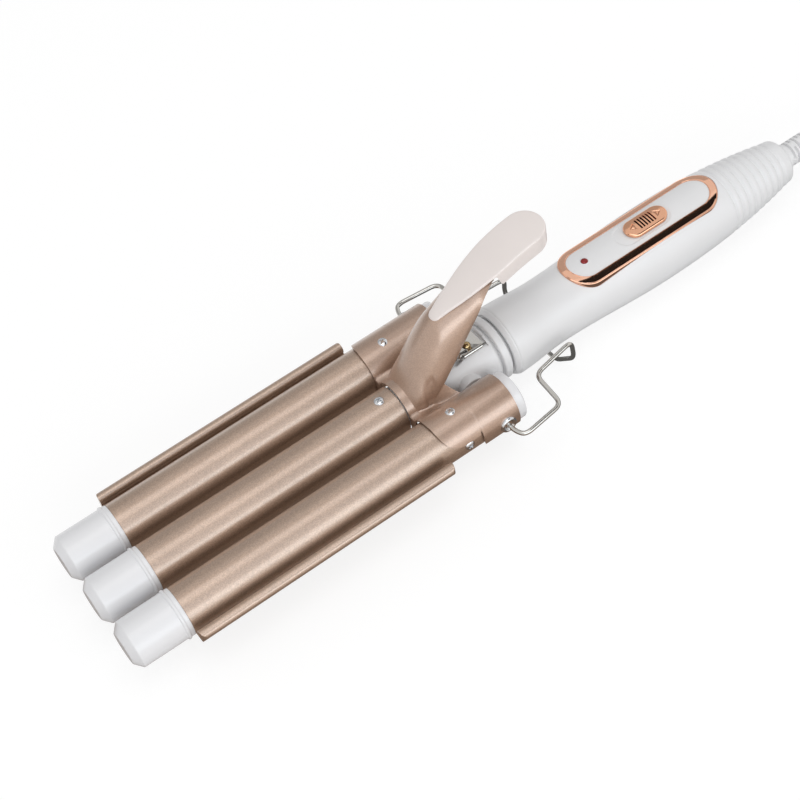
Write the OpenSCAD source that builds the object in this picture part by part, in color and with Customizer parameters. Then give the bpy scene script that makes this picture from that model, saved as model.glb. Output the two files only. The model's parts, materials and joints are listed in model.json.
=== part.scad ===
// Triple-barrel hair waver with a sprung pair of outer barrels.
// Inside the modules X = 0 is the rear edge of the tip caps, X runs towards the cord,
// and Z = 0 is the plane of the three barrel axes. placed() moves it all to the part's own origin.

/* [Barrels] */
// Outside diameter of each barrel
barrel_d = 25; // [22:0.5:28]
// Wall of each barrel tube
barrel_wall = 1.3; // [0.8:0.1:1.8]
// Bare length of the barrels, from the tip caps to the lever plate
barrel_len = 142.6; // [110:0.2:180]
// Free gap between neighbouring barrels, where the hair lies
barrel_gap = 4.8; // [4.2:0.1:8]
// Length of each tip cap in front of its barrel
cap_len = 31; // [20:0.5:45]
// Length of the chamfer at the front of a tip cap
cap_chamfer = 3.6; // [2:0.1:6]
// Depth to which the tip caps plug into the barrels
plug_in = 8; // [4:0.5:15]

/* [Side rails] */
// Distance from the outer side of a barrel to the outer edge of its rail
rail_reach = 9.1; // [7.5:0.1:13]
// Diameter of the round bead along the rail
rail_bead = 5.7; // [4.5:0.1:6.5]
// Thickness of the rail's sheet
rail_t = 1.6; // [1.2:0.1:2]
// Height of the top of the bead above the barrel axes
rail_top = 5.2; // [4:0.1:7]
// Depth of the rail's foot below the barrel axes
rail_drop = 3.8; // [2.5:0.1:5]

/* [Lever plate] */
// Sheet thickness of the lever plate
plate_t = 0.8; // [0.6:0.1:1.2]
// Length of the wings that clasp the outer barrels
wing_len = 43.2; // [38:0.2:55]
// Rise of the lever from the top of the plate to its tip
lever_height = 46; // [36:0.5:50]
// Run of the lever along the tool
lever_run = 55.5; // [45:0.5:65]
// Half width of the lever at its tip
lever_tip_w = 9.4; // [8:0.2:10.4]
// Height of the valley between a barrel and the lever, above the barrel axes
valley_z = 6.6; // [5:0.1:8]

/* [Thumb cover] */
// Length of the thumb cover
cover_len = 69; // [58:0.5:75]
// Widest half width of the thumb cover
cover_w = 10.8; // [10:0.1:14]
// Wall of the thumb cover
cover_t = 1.4; // [1:0.1:2]
// Depth of the thumb cover's skirt
cover_skirt = 9.5; // [6:0.1:11]

/* [Pivot] */
// Distance from the rear end of the wings forward to the pivot axis
pivot_back = 7.3; // [6:0.1:10]
// Diameter of the pivot pins
pivot_d = 4; // [3:0.1:5]
// Running clearance round the pivot pins, on the radius
run_clear = 0.05; // [0.02:0.01:0.1]
// Side clearance between the neck's bosses and the wings
side_clear = 0.3; // [0.2:0.05:0.6]

/* [Handle] */
// Length of the handle housing
handle_len = 191.5; // [170:0.5:220]
// Diameter of the housing just behind its front edge
handle_front_d = 38.4; // [38:0.2:42]
// Diameter of the housing at its waist
handle_waist_d = 35.4; // [33:0.2:38]
// Widest diameter of the housing
handle_belly_d = 40.8; // [39:0.2:44]
// Diameter of the housing at its ribbed tail
handle_tail_d = 24.6; // [22:0.2:28]
// Wall of the housing and the neck
housing_wall = 2; // [1.6:0.1:2.4]
// Number of grip ribs on the tail
rib_count = 8; // [4:1:8]
// Spacing of the grip ribs
rib_pitch = 4.6; // [4.2:0.1:5]
// Depth of the grooves between the ribs
rib_depth = 0.6; // [0.3:0.1:0.9]
// Width of the collar between the neck and the housing
collar_len = 4.6; // [3:0.1:6]

/* [Controls] */
// Length of the bezel
bezel_len = 96.5; // [86:0.5:105]
// Width of the bezel
bezel_w = 27; // [24:0.2:29]
// Width of the bezel's band
bezel_band = 4.2; // [3:0.1:5]
// Height of the control panel's crown above the barrel axes
panel_z = 18.6; // [17.8:0.1:19]
// Length of the switch slider
slider_len = 25.6; // [20:0.2:30]
// Width of the switch slider
slider_w = 11.6; // [9:0.2:14]
// Height of the slider above the panel
slider_h = 1.8; // [1:0.1:3]
// Travel of the slider from off to on
slider_travel = 5; // [3:0.5:7]
// Diameter of the indicator lens
led_d = 3; // [2:0.1:4]

/* [Wire stand] */
// Diameter of the stand's wire
wire_d = 2.4; // [1.8:0.1:3]
// Gap between the folded stand and the housing above it
stand_clear = 1.6; // [0.8:0.1:3]
// Distance from the side of a wing to the outer run of the wire
stand_out = 11; // [10:0.5:14]

/* [Cord] */
// Diameter of the cord
cord_d = 6; // [5:0.1:6.5]
// Length of the strain relief behind the housing
relief_len = 35; // [28:1:45]
// Mean diameter of the stored coil
coil_d = 66; // [60:1:72]

/* [Hidden] */
$fn = 64;

small = 0.01;
fit = 0.1;
barrel_r = barrel_d / 2;
bore_r = barrel_r - barrel_wall;
pitch = barrel_d + barrel_gap;
plate_r = barrel_r + plate_t + 0.05;
wing_start = barrel_len + 0.3;
wing_end = wing_start - 0.3 + wing_len;
rear_cap_len = 5.7;
pivot_x = wing_end - pivot_back;
pivot_r = pivot_d / 2;
boss_reach = pitch - plate_r - side_clear;
screw_x = barrel_len + 14;
wire_r = wire_d / 2;

collar_x = wing_end + rear_cap_len + 6.3;
handle_x = collar_x + collar_len + 1.4;
handle_end = handle_x + handle_len;
belly_x = handle_x + 0.518 * handle_len;
waist_x = handle_x + 0.165 * handle_len;
edge_x = handle_x + 4;
tail_x = handle_end - 6.5;
rib_x = tail_x - 4.5 - rib_count * rib_pitch;
relief_r = 6.4;
cord_r = cord_d / 2;
relief_end = handle_end + relief_len;

bar_x = handle_x + 26;
bar_z = -(handle_r(bar_x) + stand_clear + wire_r);
rest_h = max(handle_belly_d / 2, wire_r - bar_z);
origin_x = (relief_end - cap_len) / 2;

lever_x = wing_start + 4.3;
lever_z = barrel_r + plate_t + 0.35;
// Crown of the lever as shares of its run and its rise
lever_crown = [[0, 0], [0.09, 0.19], [0.2, 0.4], [0.31, 0.56], [0.43, 0.7], [0.71, 0.84], [1, 1]];
cover_x = lever_x + 0.425 * lever_run;
// Half width of the thumb cover as a share of its widest, against its length
cover_plan = [[0.05, 0.32], [0.3, 0.69], [0.56, 0.9], [0.8, 1], [1, 1]];
// Rise of the thumb cover's crown behind the lever's tip
cover_rise = 8.4;

bezel_x = handle_x + 44.2;
bezel_mid = bezel_x + bezel_len / 2;
panel_curve = 28.5;
slider_x = bezel_mid + 4.6;
led_x = bezel_x + 13.6;

cap_front_r = 0.66 * barrel_r;
screw_r = 2.4;

// Cord route, from the mouth of the strain relief to the coil, measured from that mouth
lead_route = [[0, 0, 0], [6, 0, 0], [12, 0, -0.5], [18, 0, -2.2], [24, 0, -4.8], [31, 0, -9.4],
    [38, 0, -13.9], [44, 0, -16.5], [50, 0, -18.2], [56, 0, -18.7], [62, 0, -18.7]];
// Cord route from the coil to the plug
tail_route = [[0, 0, -18.7], [-8, 0, -18.2], [-16, 0, -16.7], [-24, 0, -15.2], [-32, 0, -14.8]];

// Smooth curve through the points of a table, at x
function seg(x, t, i = 0) = (i >= len(t) - 2 || x < t[i + 1][0]) ? i : seg(x, t, i + 1);
function slope(t, i) = let (a = max(i - 1, 0), b = min(i + 1, len(t) - 1))
    (t[b][1] - t[a][1]) / (t[b][0] - t[a][0]);
function hermite(a, b, ma, mb, h, s) = a * (2 * pow(s, 3) - 3 * s * s + 1)
    + ma * h * (pow(s, 3) - 2 * s * s + s) + b * (3 * s * s - 2 * pow(s, 3))
    + mb * h * (pow(s, 3) - s * s);
function curve(x, t) = let (i = seg(x, t), h = t[i + 1][0] - t[i][0])
    hermite(t[i][1], t[i + 1][1], slope(t, i), slope(t, i + 1), h, (x - t[i][0]) / h);

// Cosine ease from a to b, as s runs from 0 to 1
function ease(a, b, s) = a + (b - a) * (1 - cos(180 * s)) / 2;

// Radius of the housing at x: a soft front edge, a waist, a belly and a falling tail
function handle_r(x) =
    x < edge_x ? handle_front_d / 2 - 2.2 * pow((edge_x - x) / 4, 2)
    : x < waist_x ? ease(handle_front_d, handle_waist_d, (x - edge_x) / (waist_x - edge_x)) / 2
    : x < belly_x ? ease(handle_waist_d, handle_belly_d, (x - waist_x) / (belly_x - waist_x)) / 2
    : x < tail_x ? (handle_belly_d - (handle_belly_d - handle_tail_d)
        * pow((x - belly_x) / (tail_x - belly_x), 2.3)) / 2
    : handle_tail_d / 2 - (handle_tail_d / 2 - relief_r - 0.8)
        * pow((x - tail_x) / (handle_end - tail_x), 1.6);

// Radius of the neck at x
neck_r0 = bore_r - 0.2;
neck_r1 = handle_front_d / 2 - 3.2;
function neck_r(x) = neck_r0 + (neck_r1 - neck_r0)
    * pow(max(0, (x - wing_start - 12) / (collar_x - 1.3 - wing_start - 12)), 1.35);

// Children on the left side for 1, mirrored to the right side for -1
module sided(side) {
    mirror([0, side < 0 ? 1 : 0, 0]) children();
}

module placed() {
    translate([-origin_x, 0, rest_h]) children();
}

// A profile of [radius, x] points turned about the axis at height y
module turned(points, y = 0) {
    translate([0, y, 0]) rotate([0, 90, 0]) rotate_extrude() polygon(points);
}

// A cylinder along X from x0 to x1
module rod_x(x0, x1, r, y = 0, z = 0) {
    translate([x0, y, z]) rotate([0, 90, 0]) cylinder(h = x1 - x0, r = r);
}

// A cylinder along Y from y0 to y1
module rod_y(y0, y1, r, x, z = 0) {
    translate([x, y0, z]) rotate([-90, 0, 0]) cylinder(h = y1 - y0, r = r);
}

module tube_x(x0, x1, r_out, r_in, y = 0) {
    difference() {
        rod_x(x0, x1, r_out, y);
        rod_x(x0 - 1, x1 + 1, r_in, y);
    }
}

// A flat outline with round ends, len by w, standing up from z0
module stadium(length, w, z0, h) {
    translate([0, 0, z0]) linear_extrude(h) {
        square([length - w, w], center = true);
        for (side = [-1, 1])
            translate([side * (length - w) / 2, 0]) circle(d = w);
    }
}

// A closed skin over rings of equal point counts. The ends of a sheet are closed across its thickness.
module skin(rings, sheet = false) {
    n = len(rings[0]);
    m = len(rings);
    points = [for (ring = rings) each ring];
    sides = [for (i = [0 : m - 2], j = [0 : n - 1])
        each [[i * n + j, (i + 1) * n + j, i * n + (j + 1) % n],
              [i * n + (j + 1) % n, (i + 1) * n + j, (i + 1) * n + (j + 1) % n]]];
    last = (m - 1) * n;
    ends = !sheet ? [[for (j = [0 : n - 1]) j], [for (j = [n - 1 : -1 : 0]) last + j]]
        : [for (j = [0 : n / 2 - 2]) each [[j, j + 1, n - 1 - j], [j + 1, n - 2 - j, n - 1 - j],
            [last + j, last + n - 1 - j, last + j + 1],
            [last + j + 1, last + n - 1 - j, last + n - 2 - j]]];
    polyhedron(points = points, faces = concat(sides, ends), convexity = 6);
}

// One arch of sheet in the plane at x: half width w, crown at top, feet at foot. A low arch is part of
// a circle, a tall one half an ellipse, and a power below 1 squares its shoulders.
function arch_side(x, w, top, foot, n, power) =
    let (h = top - foot, low = h < w && power == 1, r = (w * w + h * h) / (2 * h))
        [for (i = [0 : n]) let (share = 1 - 2 * i / n, a = share * (low ? asin(w / r) : 90))
            low ? [x, r * sin(a), top - r + r * cos(a)]
                : [x, w * sign(sin(a)) * pow(abs(sin(a)), power),
                    foot + h * pow(max(cos(a), 0), power)]];
function arch_ring(x, w, top, foot, tw, tz, n = 16, power = 1) =
    let (a = arch_side(x, w, top, foot, n, power),
         b = arch_side(x, w - tw, top - tz, foot, n, power))
        concat(a, [for (i = [n : -1 : 0]) b[i]]);

// A round tube swept along points, its rings carried along without twist
function unit(v) = v / norm(v);
function heading(p, i) = unit(p[min(i + 1, len(p) - 1)] - p[max(i - 1, 0)]);
function carried(p, i, a) = i == len(p) ? []
    : let (h = heading(p, i), b = unit(a - (a * h) * h)) concat([b], carried(p, i + 1, b));
function tube_rings(p, r, sides, start) = let (a = carried(p, 0, start)) [for (i = [0 : len(p) - 1])
    let (b = cross(heading(p, i), a[i]))
        [for (k = [0 : sides - 1]) p[i] + r * (cos(360 * k / sides) * a[i] + sin(360 * k / sides) * b)]];

// Rounds every corner of a polyline with a bend that starts reach away from the corner
function bent(p, reach, n = 4) = concat([p[0]], [for (i = [1 : len(p) - 2])
    let (a = p[i] + reach * unit(p[i - 1] - p[i]), b = p[i] + reach * unit(p[i + 1] - p[i]))
        each [for (k = [0 : n]) let (s = k / n) (1 - s) * (1 - s) * a + 2 * s * (1 - s) * p[i] + s * s * b]],
    [p[len(p) - 1]]);

// Screw with a domed head and a cross slot, head on the XY plane, shank below
module screw(r = screw_r, shank = 6) {
    difference() {
        union() {
            intersection() {
                translate([0, 0, -r]) sphere(r = 1.45 * r);
                cylinder(h = r, r = r);
            }
            translate([0, 0, -shank]) cylinder(h = shank + 0.1, r = 0.5 * r);
        }
        for (turn = [0, 90])
            rotate([0, 0, turn]) translate([-0.6 * r, -0.15 * r, 0.12 * r]) cube([1.2 * r, 0.3 * r, r]);
    }
}

// Pieces of the handle

housing_steps = 36;
tail_steps = 6;
rib_end = rib_x + rib_count * rib_pitch;
function housing_outline() = concat(
    [for (i = [0 : housing_steps - 1]) let (x = handle_x + (rib_x - handle_x) * i / housing_steps)
        [handle_r(x), x]],
    [for (i = [0 : rib_count - 1]) let (x = rib_x + i * rib_pitch)
        each [[handle_r(x) - rib_depth, x], [handle_r(x + 1), x + 1],
            [handle_r(x + rib_pitch - 0.6), x + rib_pitch - 0.6]]],
    [for (i = [0 : tail_steps]) let (x = rib_end + (handle_end - rib_end) * i / tail_steps)
        [handle_r(x), x]]);

spigot_r = handle_front_d / 2 - 2.2 - housing_wall - fit;
spigot_end = handle_x + 14;
function bore_outline() = concat(
    [[spigot_r + fit, handle_x - 1], [spigot_r + fit, spigot_end + 2]],
    [for (i = [1 : 20]) let (x = spigot_end + 2 + (tail_x - spigot_end - 2) * i / 20)
        [handle_r(x) - housing_wall, x]],
    [[relief_r + 1.5, handle_end - 3.2]]);

// The hollow inside the housing, as a solid
module housing_bore() {
    turned(concat([[0, handle_x - 1]], bore_outline(), [[0, handle_end - 3.2]]));
}

board_z = 3.3;
board_t = 1.6;
board_w = 26;
board_len = 72;
board_x = bezel_mid - board_len / 2;
tray_z = 12.5;

module housing_solid() {
    turned(concat([[0, handle_x]], housing_outline(), [[0, handle_end]]));
}

module handle_screw_spots() {
    for (side = [-1, 1])
        translate([handle_x + 8, 0, 0]) rotate([180 + 30 * side, 0, 0])
            translate([0, 0, handle_front_d / 2 - 1.6]) children();
}

module handle_housing() {
    color("whitesmoke") placed() difference() {
        union() {
            difference() {
                housing_solid();
                housing_bore();
            }
            intersection() {
                housing_solid();
                union() {
                    translate([bezel_mid, 0, 0]) stadium(bezel_len + 3, bezel_w + 3.4, tray_z - 2, 2);
                    for (side = [-1, 1])
                        translate([board_x, side * (board_w / 2 + 2) - 4, board_z - board_t - 2])
                            cube([board_len, 8, 2]);
                }
            }
        }
        translate([bezel_mid, 0, 0]) {
            stadium(bezel_len + 2 * fit, bezel_w + 2 * fit, tray_z, 20);
            stadium(bezel_len - 8, bezel_w - 8, tray_z - 6, 20);
        }
        rod_x(handle_end - 10, handle_end + 1, relief_r - 1.3);
        handle_screw_spots() {
            cylinder(h = 6, r = screw_r + 0.2);
            translate([0, 0, -8]) cylinder(h = 9, r = 0.5 * screw_r + 0.15);
        }
    }
}

module collar_ring() {
    outer = handle_front_d / 2 - 1.7;
    color("whitesmoke") placed() turned([
        [spigot_r + fit / 2, collar_x], [outer - 0.8, collar_x], [outer - 0.2, collar_x + 0.5],
        [outer, collar_x + 1.4], [outer, collar_x + collar_len - 1],
        [outer - 0.5, collar_x + collar_len - 0.2], [outer - 0.9, collar_x + collar_len],
        [spigot_r + fit / 2, collar_x + collar_len]]);
}

neck_front = barrel_len - 22;
neck_step = collar_x - 1.3;
seat_z = neck_r(pivot_x) + 0.3;
seat_w = 7.9;
arbor_x = pivot_x - 2.2;
arbor_z = seat_z + 2.3;
arbor_r = 1.5;
pocket_w = 6.2;
function neck_outline() = concat(
    [[bore_r - fit, neck_front], [bore_r - fit, barrel_len]],
    [for (i = [0 : 12]) let (x = barrel_len + 0.01 + (neck_step - barrel_len) * i / 12) [neck_r(x), x]],
    [[spigot_r, neck_step + 0.02], [spigot_r, spigot_end]]);

module neck_solid(grow = 0) {
    turned(concat([[0, neck_front]], [for (p = neck_outline()) [p[0] + grow, p[1]]], [[0, spigot_end]]));
}

module neck() {
    color("white") placed() difference() {
        union() {
            difference() {
                neck_solid();
                turned(concat([[0, neck_front - 1], [neck_outline()[0][0] - housing_wall, neck_front - 1]],
                    [for (p = neck_outline()) [p[0] - housing_wall, p[1]]],
                    [[spigot_r - housing_wall, spigot_end + 1], [0, spigot_end + 1]]));
            }
            intersection() {
                neck_solid(-small);
                translate([pivot_x - 8, -seat_w - 1, seat_z - 2.8]) cube([25, 2 * seat_w + 2, 8]);
            }
            for (side = [-1, 1]) sided(side) {
                rod_y(neck_r(pivot_x) - 4, neck_r(pivot_x) + 1.2, 6.6, pivot_x);
                rod_y(neck_r(pivot_x) - 4, boss_reach, 5, pivot_x);
            }
        }
        for (side = [-1, 1]) sided(side)
            rod_y(neck_r(pivot_x) - 5, boss_reach + 1, pivot_r + run_clear, pivot_x);
        translate([pivot_x - 6, -seat_w, seat_z]) cube([22.5, 2 * seat_w, 10]);
        translate([pivot_x - 7.5, -pocket_w, arbor_z - 4.6]) cube([10, 2 * pocket_w, 14]);
        middle_screw_spot() translate([0, 0, -8]) cylinder(h = 9, r = 0.5 * screw_r);
        handle_screw_spots() translate([0, 0, -8]) cylinder(h = 9, r = 0.5 * screw_r);
        rivet_spot() translate([0, 0, -6]) cylinder(h = 7, r = 1.2);
    }
}

module middle_screw_spot() {
    translate([barrel_len - 8, 0, barrel_r]) children();
}

module rivet_spot() {
    translate([pivot_x + 7.8, -1.4, seat_z + 1]) children();
}

module middle_barrel() {
    color("rosybrown") placed() difference() {
        tube_x(0, barrel_len, barrel_r, bore_r);
        middle_screw_spot() translate([0, 0, -4]) cylinder(h = 6, r = 0.5 * screw_r + 0.15);
    }
}

module tip_cap(y) {
    bead = -4.5;
    inner = bore_r - fit - 1.8;
    turned([[0, -cap_len], [cap_front_r - 0.8, -cap_len], [cap_front_r, -cap_len + 0.4],
        [barrel_r - 0.4, -cap_len + cap_chamfer - 0.5], [barrel_r, -cap_len + cap_chamfer + 0.3],
        [barrel_r, bead - 0.9], [barrel_r + 0.7, bead - 0.4], [barrel_r + 0.7, bead + 0.4],
        [barrel_r, bead + 0.9], [barrel_r, 0], [bore_r - fit, 0], [bore_r - fit, plug_in],
        [inner, plug_in], [inner, -cap_len + cap_chamfer + 2], [0, -cap_len + cap_chamfer + 2]], y);
}

module middle_tip_cap() {
    color("white") placed() tip_cap(0);
}

module middle_barrel_screw() {
    color("silver") placed() middle_screw_spot() screw();
}

rolled_y = -6.6;
rolled_r = 1.15;
module spring_bracket() {
    ear_y = pocket_w - 1.2;
    color("silver") placed() difference() {
        union() {
            translate([pivot_x + 1, rolled_y, seat_z]) cube([14, 6.5 - rolled_y, 1]);
            rod_x(pivot_x + 2.5, pivot_x + 13.5, rolled_r, rolled_y, seat_z + rolled_r);
            for (y = [-ear_y - 0.9, ear_y])
                translate([arbor_x - 2.4, y, seat_z]) cube([6.2, 0.9, 4.6]);
        }
        rod_x(pivot_x, pivot_x + 16, 0.55, rolled_y, seat_z + rolled_r);
        rod_y(-pocket_w, pocket_w, arbor_r, arbor_x, arbor_z);
        rivet_spot() translate([0, 0, -2]) cylinder(h = 4, r = 1.25);
        translate([pivot_x, -pocket_w + 1.3, seat_z - 1]) cube([2.2, 2 * pocket_w - 2.6, 3]);
    }
}

module bracket_rivet() {
    color("gold") placed() rivet_spot() {
        intersection() {
            translate([0, 0, -0.9]) sphere(r = 2.5);
            cylinder(h = 3, r = 2.4);
        }
        translate([0, 0, -4]) cylinder(h = 4.1, r = 1.2);
    }
}

module bracket_pin() {
    color("dimgray") placed()
        rod_x(pivot_x + 1.2, pivot_x + 16, 0.5, rolled_y, seat_z + rolled_r);
}

module spring_arbor() {
    color("dimgray") placed() rod_y(-pocket_w + 0.1, pocket_w - 0.1, arbor_r, arbor_x, arbor_z);
}

// A straight wire from p to q
module strut(p, q, r) {
    v = q - p;
    translate(p) rotate([0, acos(v[2] / norm(v)), atan2(v[1], v[0])]) cylinder(h = norm(v), r = r);
}

spring_wire = 0.5;
coil_r = arbor_r + spring_wire + 0.4;
turns = 7;
module torsion_spring() {
    half = 0.5 * (turns - 1) * 2.1 * spring_wire;
    leg_x = pivot_x - 10.5;
    color("dimgray") placed() {
        for (i = [0 : turns - 1])
            translate([arbor_x, -half + i * 2.1 * spring_wire, arbor_z]) rotate([90, 0, 0])
                rotate_extrude() translate([coil_r, 0]) circle(r = spring_wire * 1.08, $fn = 24);
        strut([arbor_x + coil_r, -half, arbor_z], [pivot_x + 6, -half, seat_z + 1.6], spring_wire);
        strut([arbor_x - coil_r, half, arbor_z],
            [leg_x, half, lever_top(leg_x) - lever_tz - 2.2], spring_wire);
    }
}

// Trims children under the curved crown of the controls, lowered by drop
module crowned(drop = 0) {
    intersection() {
        children();
        rod_x(bezel_x - 5, bezel_x + bezel_len + 5, panel_curve - drop, 0, panel_z - panel_curve);
    }
}

module bezel() {
    color("peru") placed() crowned() translate([bezel_mid, 0, 0]) difference() {
        stadium(bezel_len, bezel_w, tray_z, 10);
        stadium(bezel_len - 2 * bezel_band, bezel_w - 2 * bezel_band, tray_z - 1, 12);
    }
}

panel_len = bezel_len - 2 * bezel_band - 2 * fit;
panel_w = bezel_w - 2 * bezel_band - 2 * fit;
panel_drop = 0.25;
stem_l = 6;
stem_w = 4;
module slot(len_more, w_more, z0, h) {
    translate([slider_x - slider_travel - stem_l / 2 - len_more, -stem_w / 2 - w_more, z0])
        cube([slider_travel + stem_l + 2 * len_more, stem_w + 2 * w_more, h]);
}

module switch_panel() {
    color("whitesmoke") placed() difference() {
        crowned(panel_drop) translate([bezel_mid, 0, 0])
            stadium(panel_len, panel_w, tray_z - 1, 10);
        translate([bezel_mid, 0, 0])
            stadium(panel_len - 3, panel_w - 3, tray_z - 2, panel_z - 2.4 - tray_z + 2);
        translate([led_x, 0, 0]) cylinder(h = 30, r = led_d / 2 + fit);
        slot(0.4, 0.4, 0, 30);
    }
}

module led_lens() {
    color("red", 0.9) placed() translate([led_x, 0, board_z]) {
        cylinder(h = panel_z - board_z - 0.1, r = led_d / 2);
        translate([0, 0, panel_z - board_z - 0.1 - 0.6]) sphere(r = led_d / 2);
    }
}

switch_top = 14.6;
module switch_body() {
    color("dimgray") placed() difference() {
        translate([slider_x - slider_travel / 2 - 10, -5.5, board_z]) cube([20, 11, switch_top - board_z]);
        slot(0.5, 0.4, switch_top - 4, 10);
    }
}

module slider_marks() {
    for (i = [-2.5 : 1 : 2.5])
        translate([i * 1.7 - 0.45, -slider_w * 0.26, -0.4]) cube([0.9, slider_w * 0.52, 2]);
    for (side = [-1, 1])
        translate([side * slider_len * 0.34, 0, -0.3]) linear_extrude(2)
            polygon([[0, -1.7], [0, 1.7], [side * 2.4, 0]]);
}

module switch_slider() {
    base = panel_curve - panel_drop + 0.3;
    crown = panel_curve - panel_drop + slider_h;
    axis_z = panel_z - panel_curve;
    color("peru") placed() translate([slider_x, 0, 0]) {
        difference() {
            intersection() {
                stadium(slider_len, slider_w, 10, 15);
                rod_x(-20, 20, crown, 0, axis_z);
            }
            rod_x(-20, 20, base, 0, axis_z);
            translate([0, 0, axis_z + crown]) slider_marks();
        }
        translate([-stem_l / 2, -stem_w / 2, switch_top - 3])
            cube([stem_l, stem_w, axis_z + base + 0.3 - switch_top + 3]);
    }
}

module circuit_board() {
    color("seagreen") placed() translate([board_x, -board_w / 2, board_z - board_t])
        cube([board_len, board_w, board_t]);
}

module thermal_fuse() {
    color("tan") placed() {
        rod_x(board_x + 3, board_x + 13, 2, 8, board_z + 2);
        for (x = [board_x + 2, board_x + 13])
            translate([x, 7.5, board_z]) cube([1.05, 1, 2.5]);
    }
}

clamp_x = tail_x - 30;
module cord_clamp() {
    color("dimgray") placed() difference() {
        intersection() {
            translate([clamp_x, -9, -20]) cube([8, 18, 25]);
            housing_bore();
        }
        rod_x(clamp_x - 1, clamp_x + 9, cord_r);
        clamp_screw_spots() translate([0, 0, -8]) cylinder(h = 9, r = 0.9);
    }
}

module clamp_screw_spots() {
    for (y = [-6.2, 6.2]) translate([clamp_x + 4, y, 5]) children();
}

module clamp_screws() {
    color("silver") placed() clamp_screw_spots() screw(1.8, 6);
}

module handle_screws() {
    color("silver") placed() handle_screw_spots() screw(screw_r, 4);
}

slit_pitch = 2.65;
slit_rows = floor((relief_len - 8) / slit_pitch);
function relief_r_at(x) = relief_r - 1.4 * pow(max(0, x - handle_end - 12) / (relief_len - 12), 1.5);
module strain_relief() {
    color("whitesmoke") placed() difference() {
        turned(concat([[cord_r, handle_end - 6], [relief_r + 1.1, handle_end - 6],
            [relief_r + 1.1, handle_end - 3.2], [relief_r - 1.35, handle_end - 3.2],
            [relief_r - 1.35, handle_end + 0.05]],
            [for (i = [0 : 8]) let (x = handle_end + 0.05 + (relief_len - 0.05) * i / 8) [relief_r_at(x), x]],
            [[cord_r, relief_end]]));
        for (i = [0 : slit_rows - 1]) let (x = handle_end + 2.2 + i * slit_pitch)
            difference() {
                tube_x(x, x + 1.1, relief_r + 1, relief_r_at(x) - 1.1);
                for (turn = [45, 135])
                    rotate([turn, 0, 0]) translate([x - 1, -relief_r - 2, -1.3])
                        cube([3, 2 * relief_r + 4, 2.6]);
            }
    }
}

heater_w = 14;
heater_h = 7;
heater_x = 24;
heater_len = barrel_len - 22 - heater_x - 4;
module heater(y) {
    clip = 2 * sqrt(pow(bore_r - fit, 2) - pow(heater_w / 2, 2));
    translate([heater_x, y - heater_w / 2, -heater_h / 2]) cube([heater_len, heater_w, heater_h]);
    for (x = [heater_x + 6, heater_x + heater_len - 12])
        intersection() {
            translate([x, y - 3, -bore_r]) cube([6, 6, 2 * bore_r]);
            rod_x(x - 1, x + 7, bore_r - fit, y);
        }
}

module middle_heater() {
    color("silver") placed() heater(0);
}

module heater_leads() {
    color("firebrick") placed() for (y = [-4, 4])
        rod_x(heater_x + heater_len, board_x, 0.75, y, board_z - board_t / 2);
}

module cord_inner() {
    color("white") placed() rod_x(clamp_x - 4, relief_end, cord_r - 0.03);
}

// Pieces of the jaw

function lever_top(x) = lever_z
    + lever_height * (x < lever_x ? 0 : curve((x - lever_x) / lever_run, lever_crown));
lever_tz = 1.8 * plate_t;
foot_z = valley_z - plate_t / 2;
lever_tip = lever_x + lever_run;
edge_z0 = lever_z + 1.7;
edge_x0 = pivot_x - 14.5;
function lever_foot(x) = max(foot_z, edge_z0
    + (x - edge_x0) * (lever_top(lever_tip) - edge_z0) / (lever_tip - edge_x0));
lip_w = sqrt(lever_z * lever_z - foot_z * foot_z);
function lever_w(x) = x < edge_x0
    ? ease(lip_w, plate_r, min(1, max(0, (x - lever_x) / 6)))
    : plate_r + (lever_tip_w - plate_r) * (x - edge_x0) / (lever_tip - edge_x0);
function lever_power(x) = 1 - 0.38 * min(1, max(0, (x - lever_x - 8) / 28));
function lever_at(x, y) = let (p = lever_power(x), foot = lever_foot(x),
        a = asin(pow(min(1, y / lever_w(x)), 1 / p)))
    foot + (lever_top(x) - foot) * pow(cos(a), p);
function lever_t(x) = plate_t + (lever_tz - plate_t) * min(1, max(0, (x - lever_x) / 5));

// Places children on the top and the outer side of one outer barrel
module wing_screw_spots(side) {
    for (spot = [[-6, plate_r], [84.5, barrel_r]])
        translate([screw_x, side * pitch, 0]) rotate([-side * spot[0], 0, 0])
            translate([0, 0, spot[1]]) children();
}

module wing(side) {
    cut_x = screw_x + 8;
    corner = 11.2;
    y = side * pitch;
    difference() {
        tube_x(wing_start, wing_end, plate_r, barrel_r + 0.05, y);
        translate([wing_start - 1, y - 2 * barrel_r, -2 * barrel_r]) cube([wing_len + 2, 4 * barrel_r,
            2 * barrel_r - 4.6]);
        sided(side) {
            translate([wing_start - 1, pitch + 4, -10]) cube([cut_x - wing_start + 1, 20, 10 + 4.1]);
            translate([wing_start - 1, pitch - 20, -10])
                cube([lever_x - wing_start + 4, 20, 10 + valley_z - plate_t]);
            difference() {
                translate([wing_start - 1, pitch + 1, 4]) cube([corner + 1.2, 20, corner]);
                rod_y(pitch, pitch + 22, corner, wing_start + corner + 0.2, 4.1 + corner);
            }
            rod_y(pitch, pitch + 20, wire_r + 0.6, pivot_x);
            rod_y(pitch - 20, pitch, pivot_r + 0.25, pivot_x);
            translate([cut_x + 1.4, pitch + 4, -6]) rotate([0, 20, 0]) cube([1.3, 20, 9]);
        }
        wing_screw_spots(side) translate([0, 0, -3]) cylinder(h = 8, r = 0.5 * screw_r + 0.2);
    }
}

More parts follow.
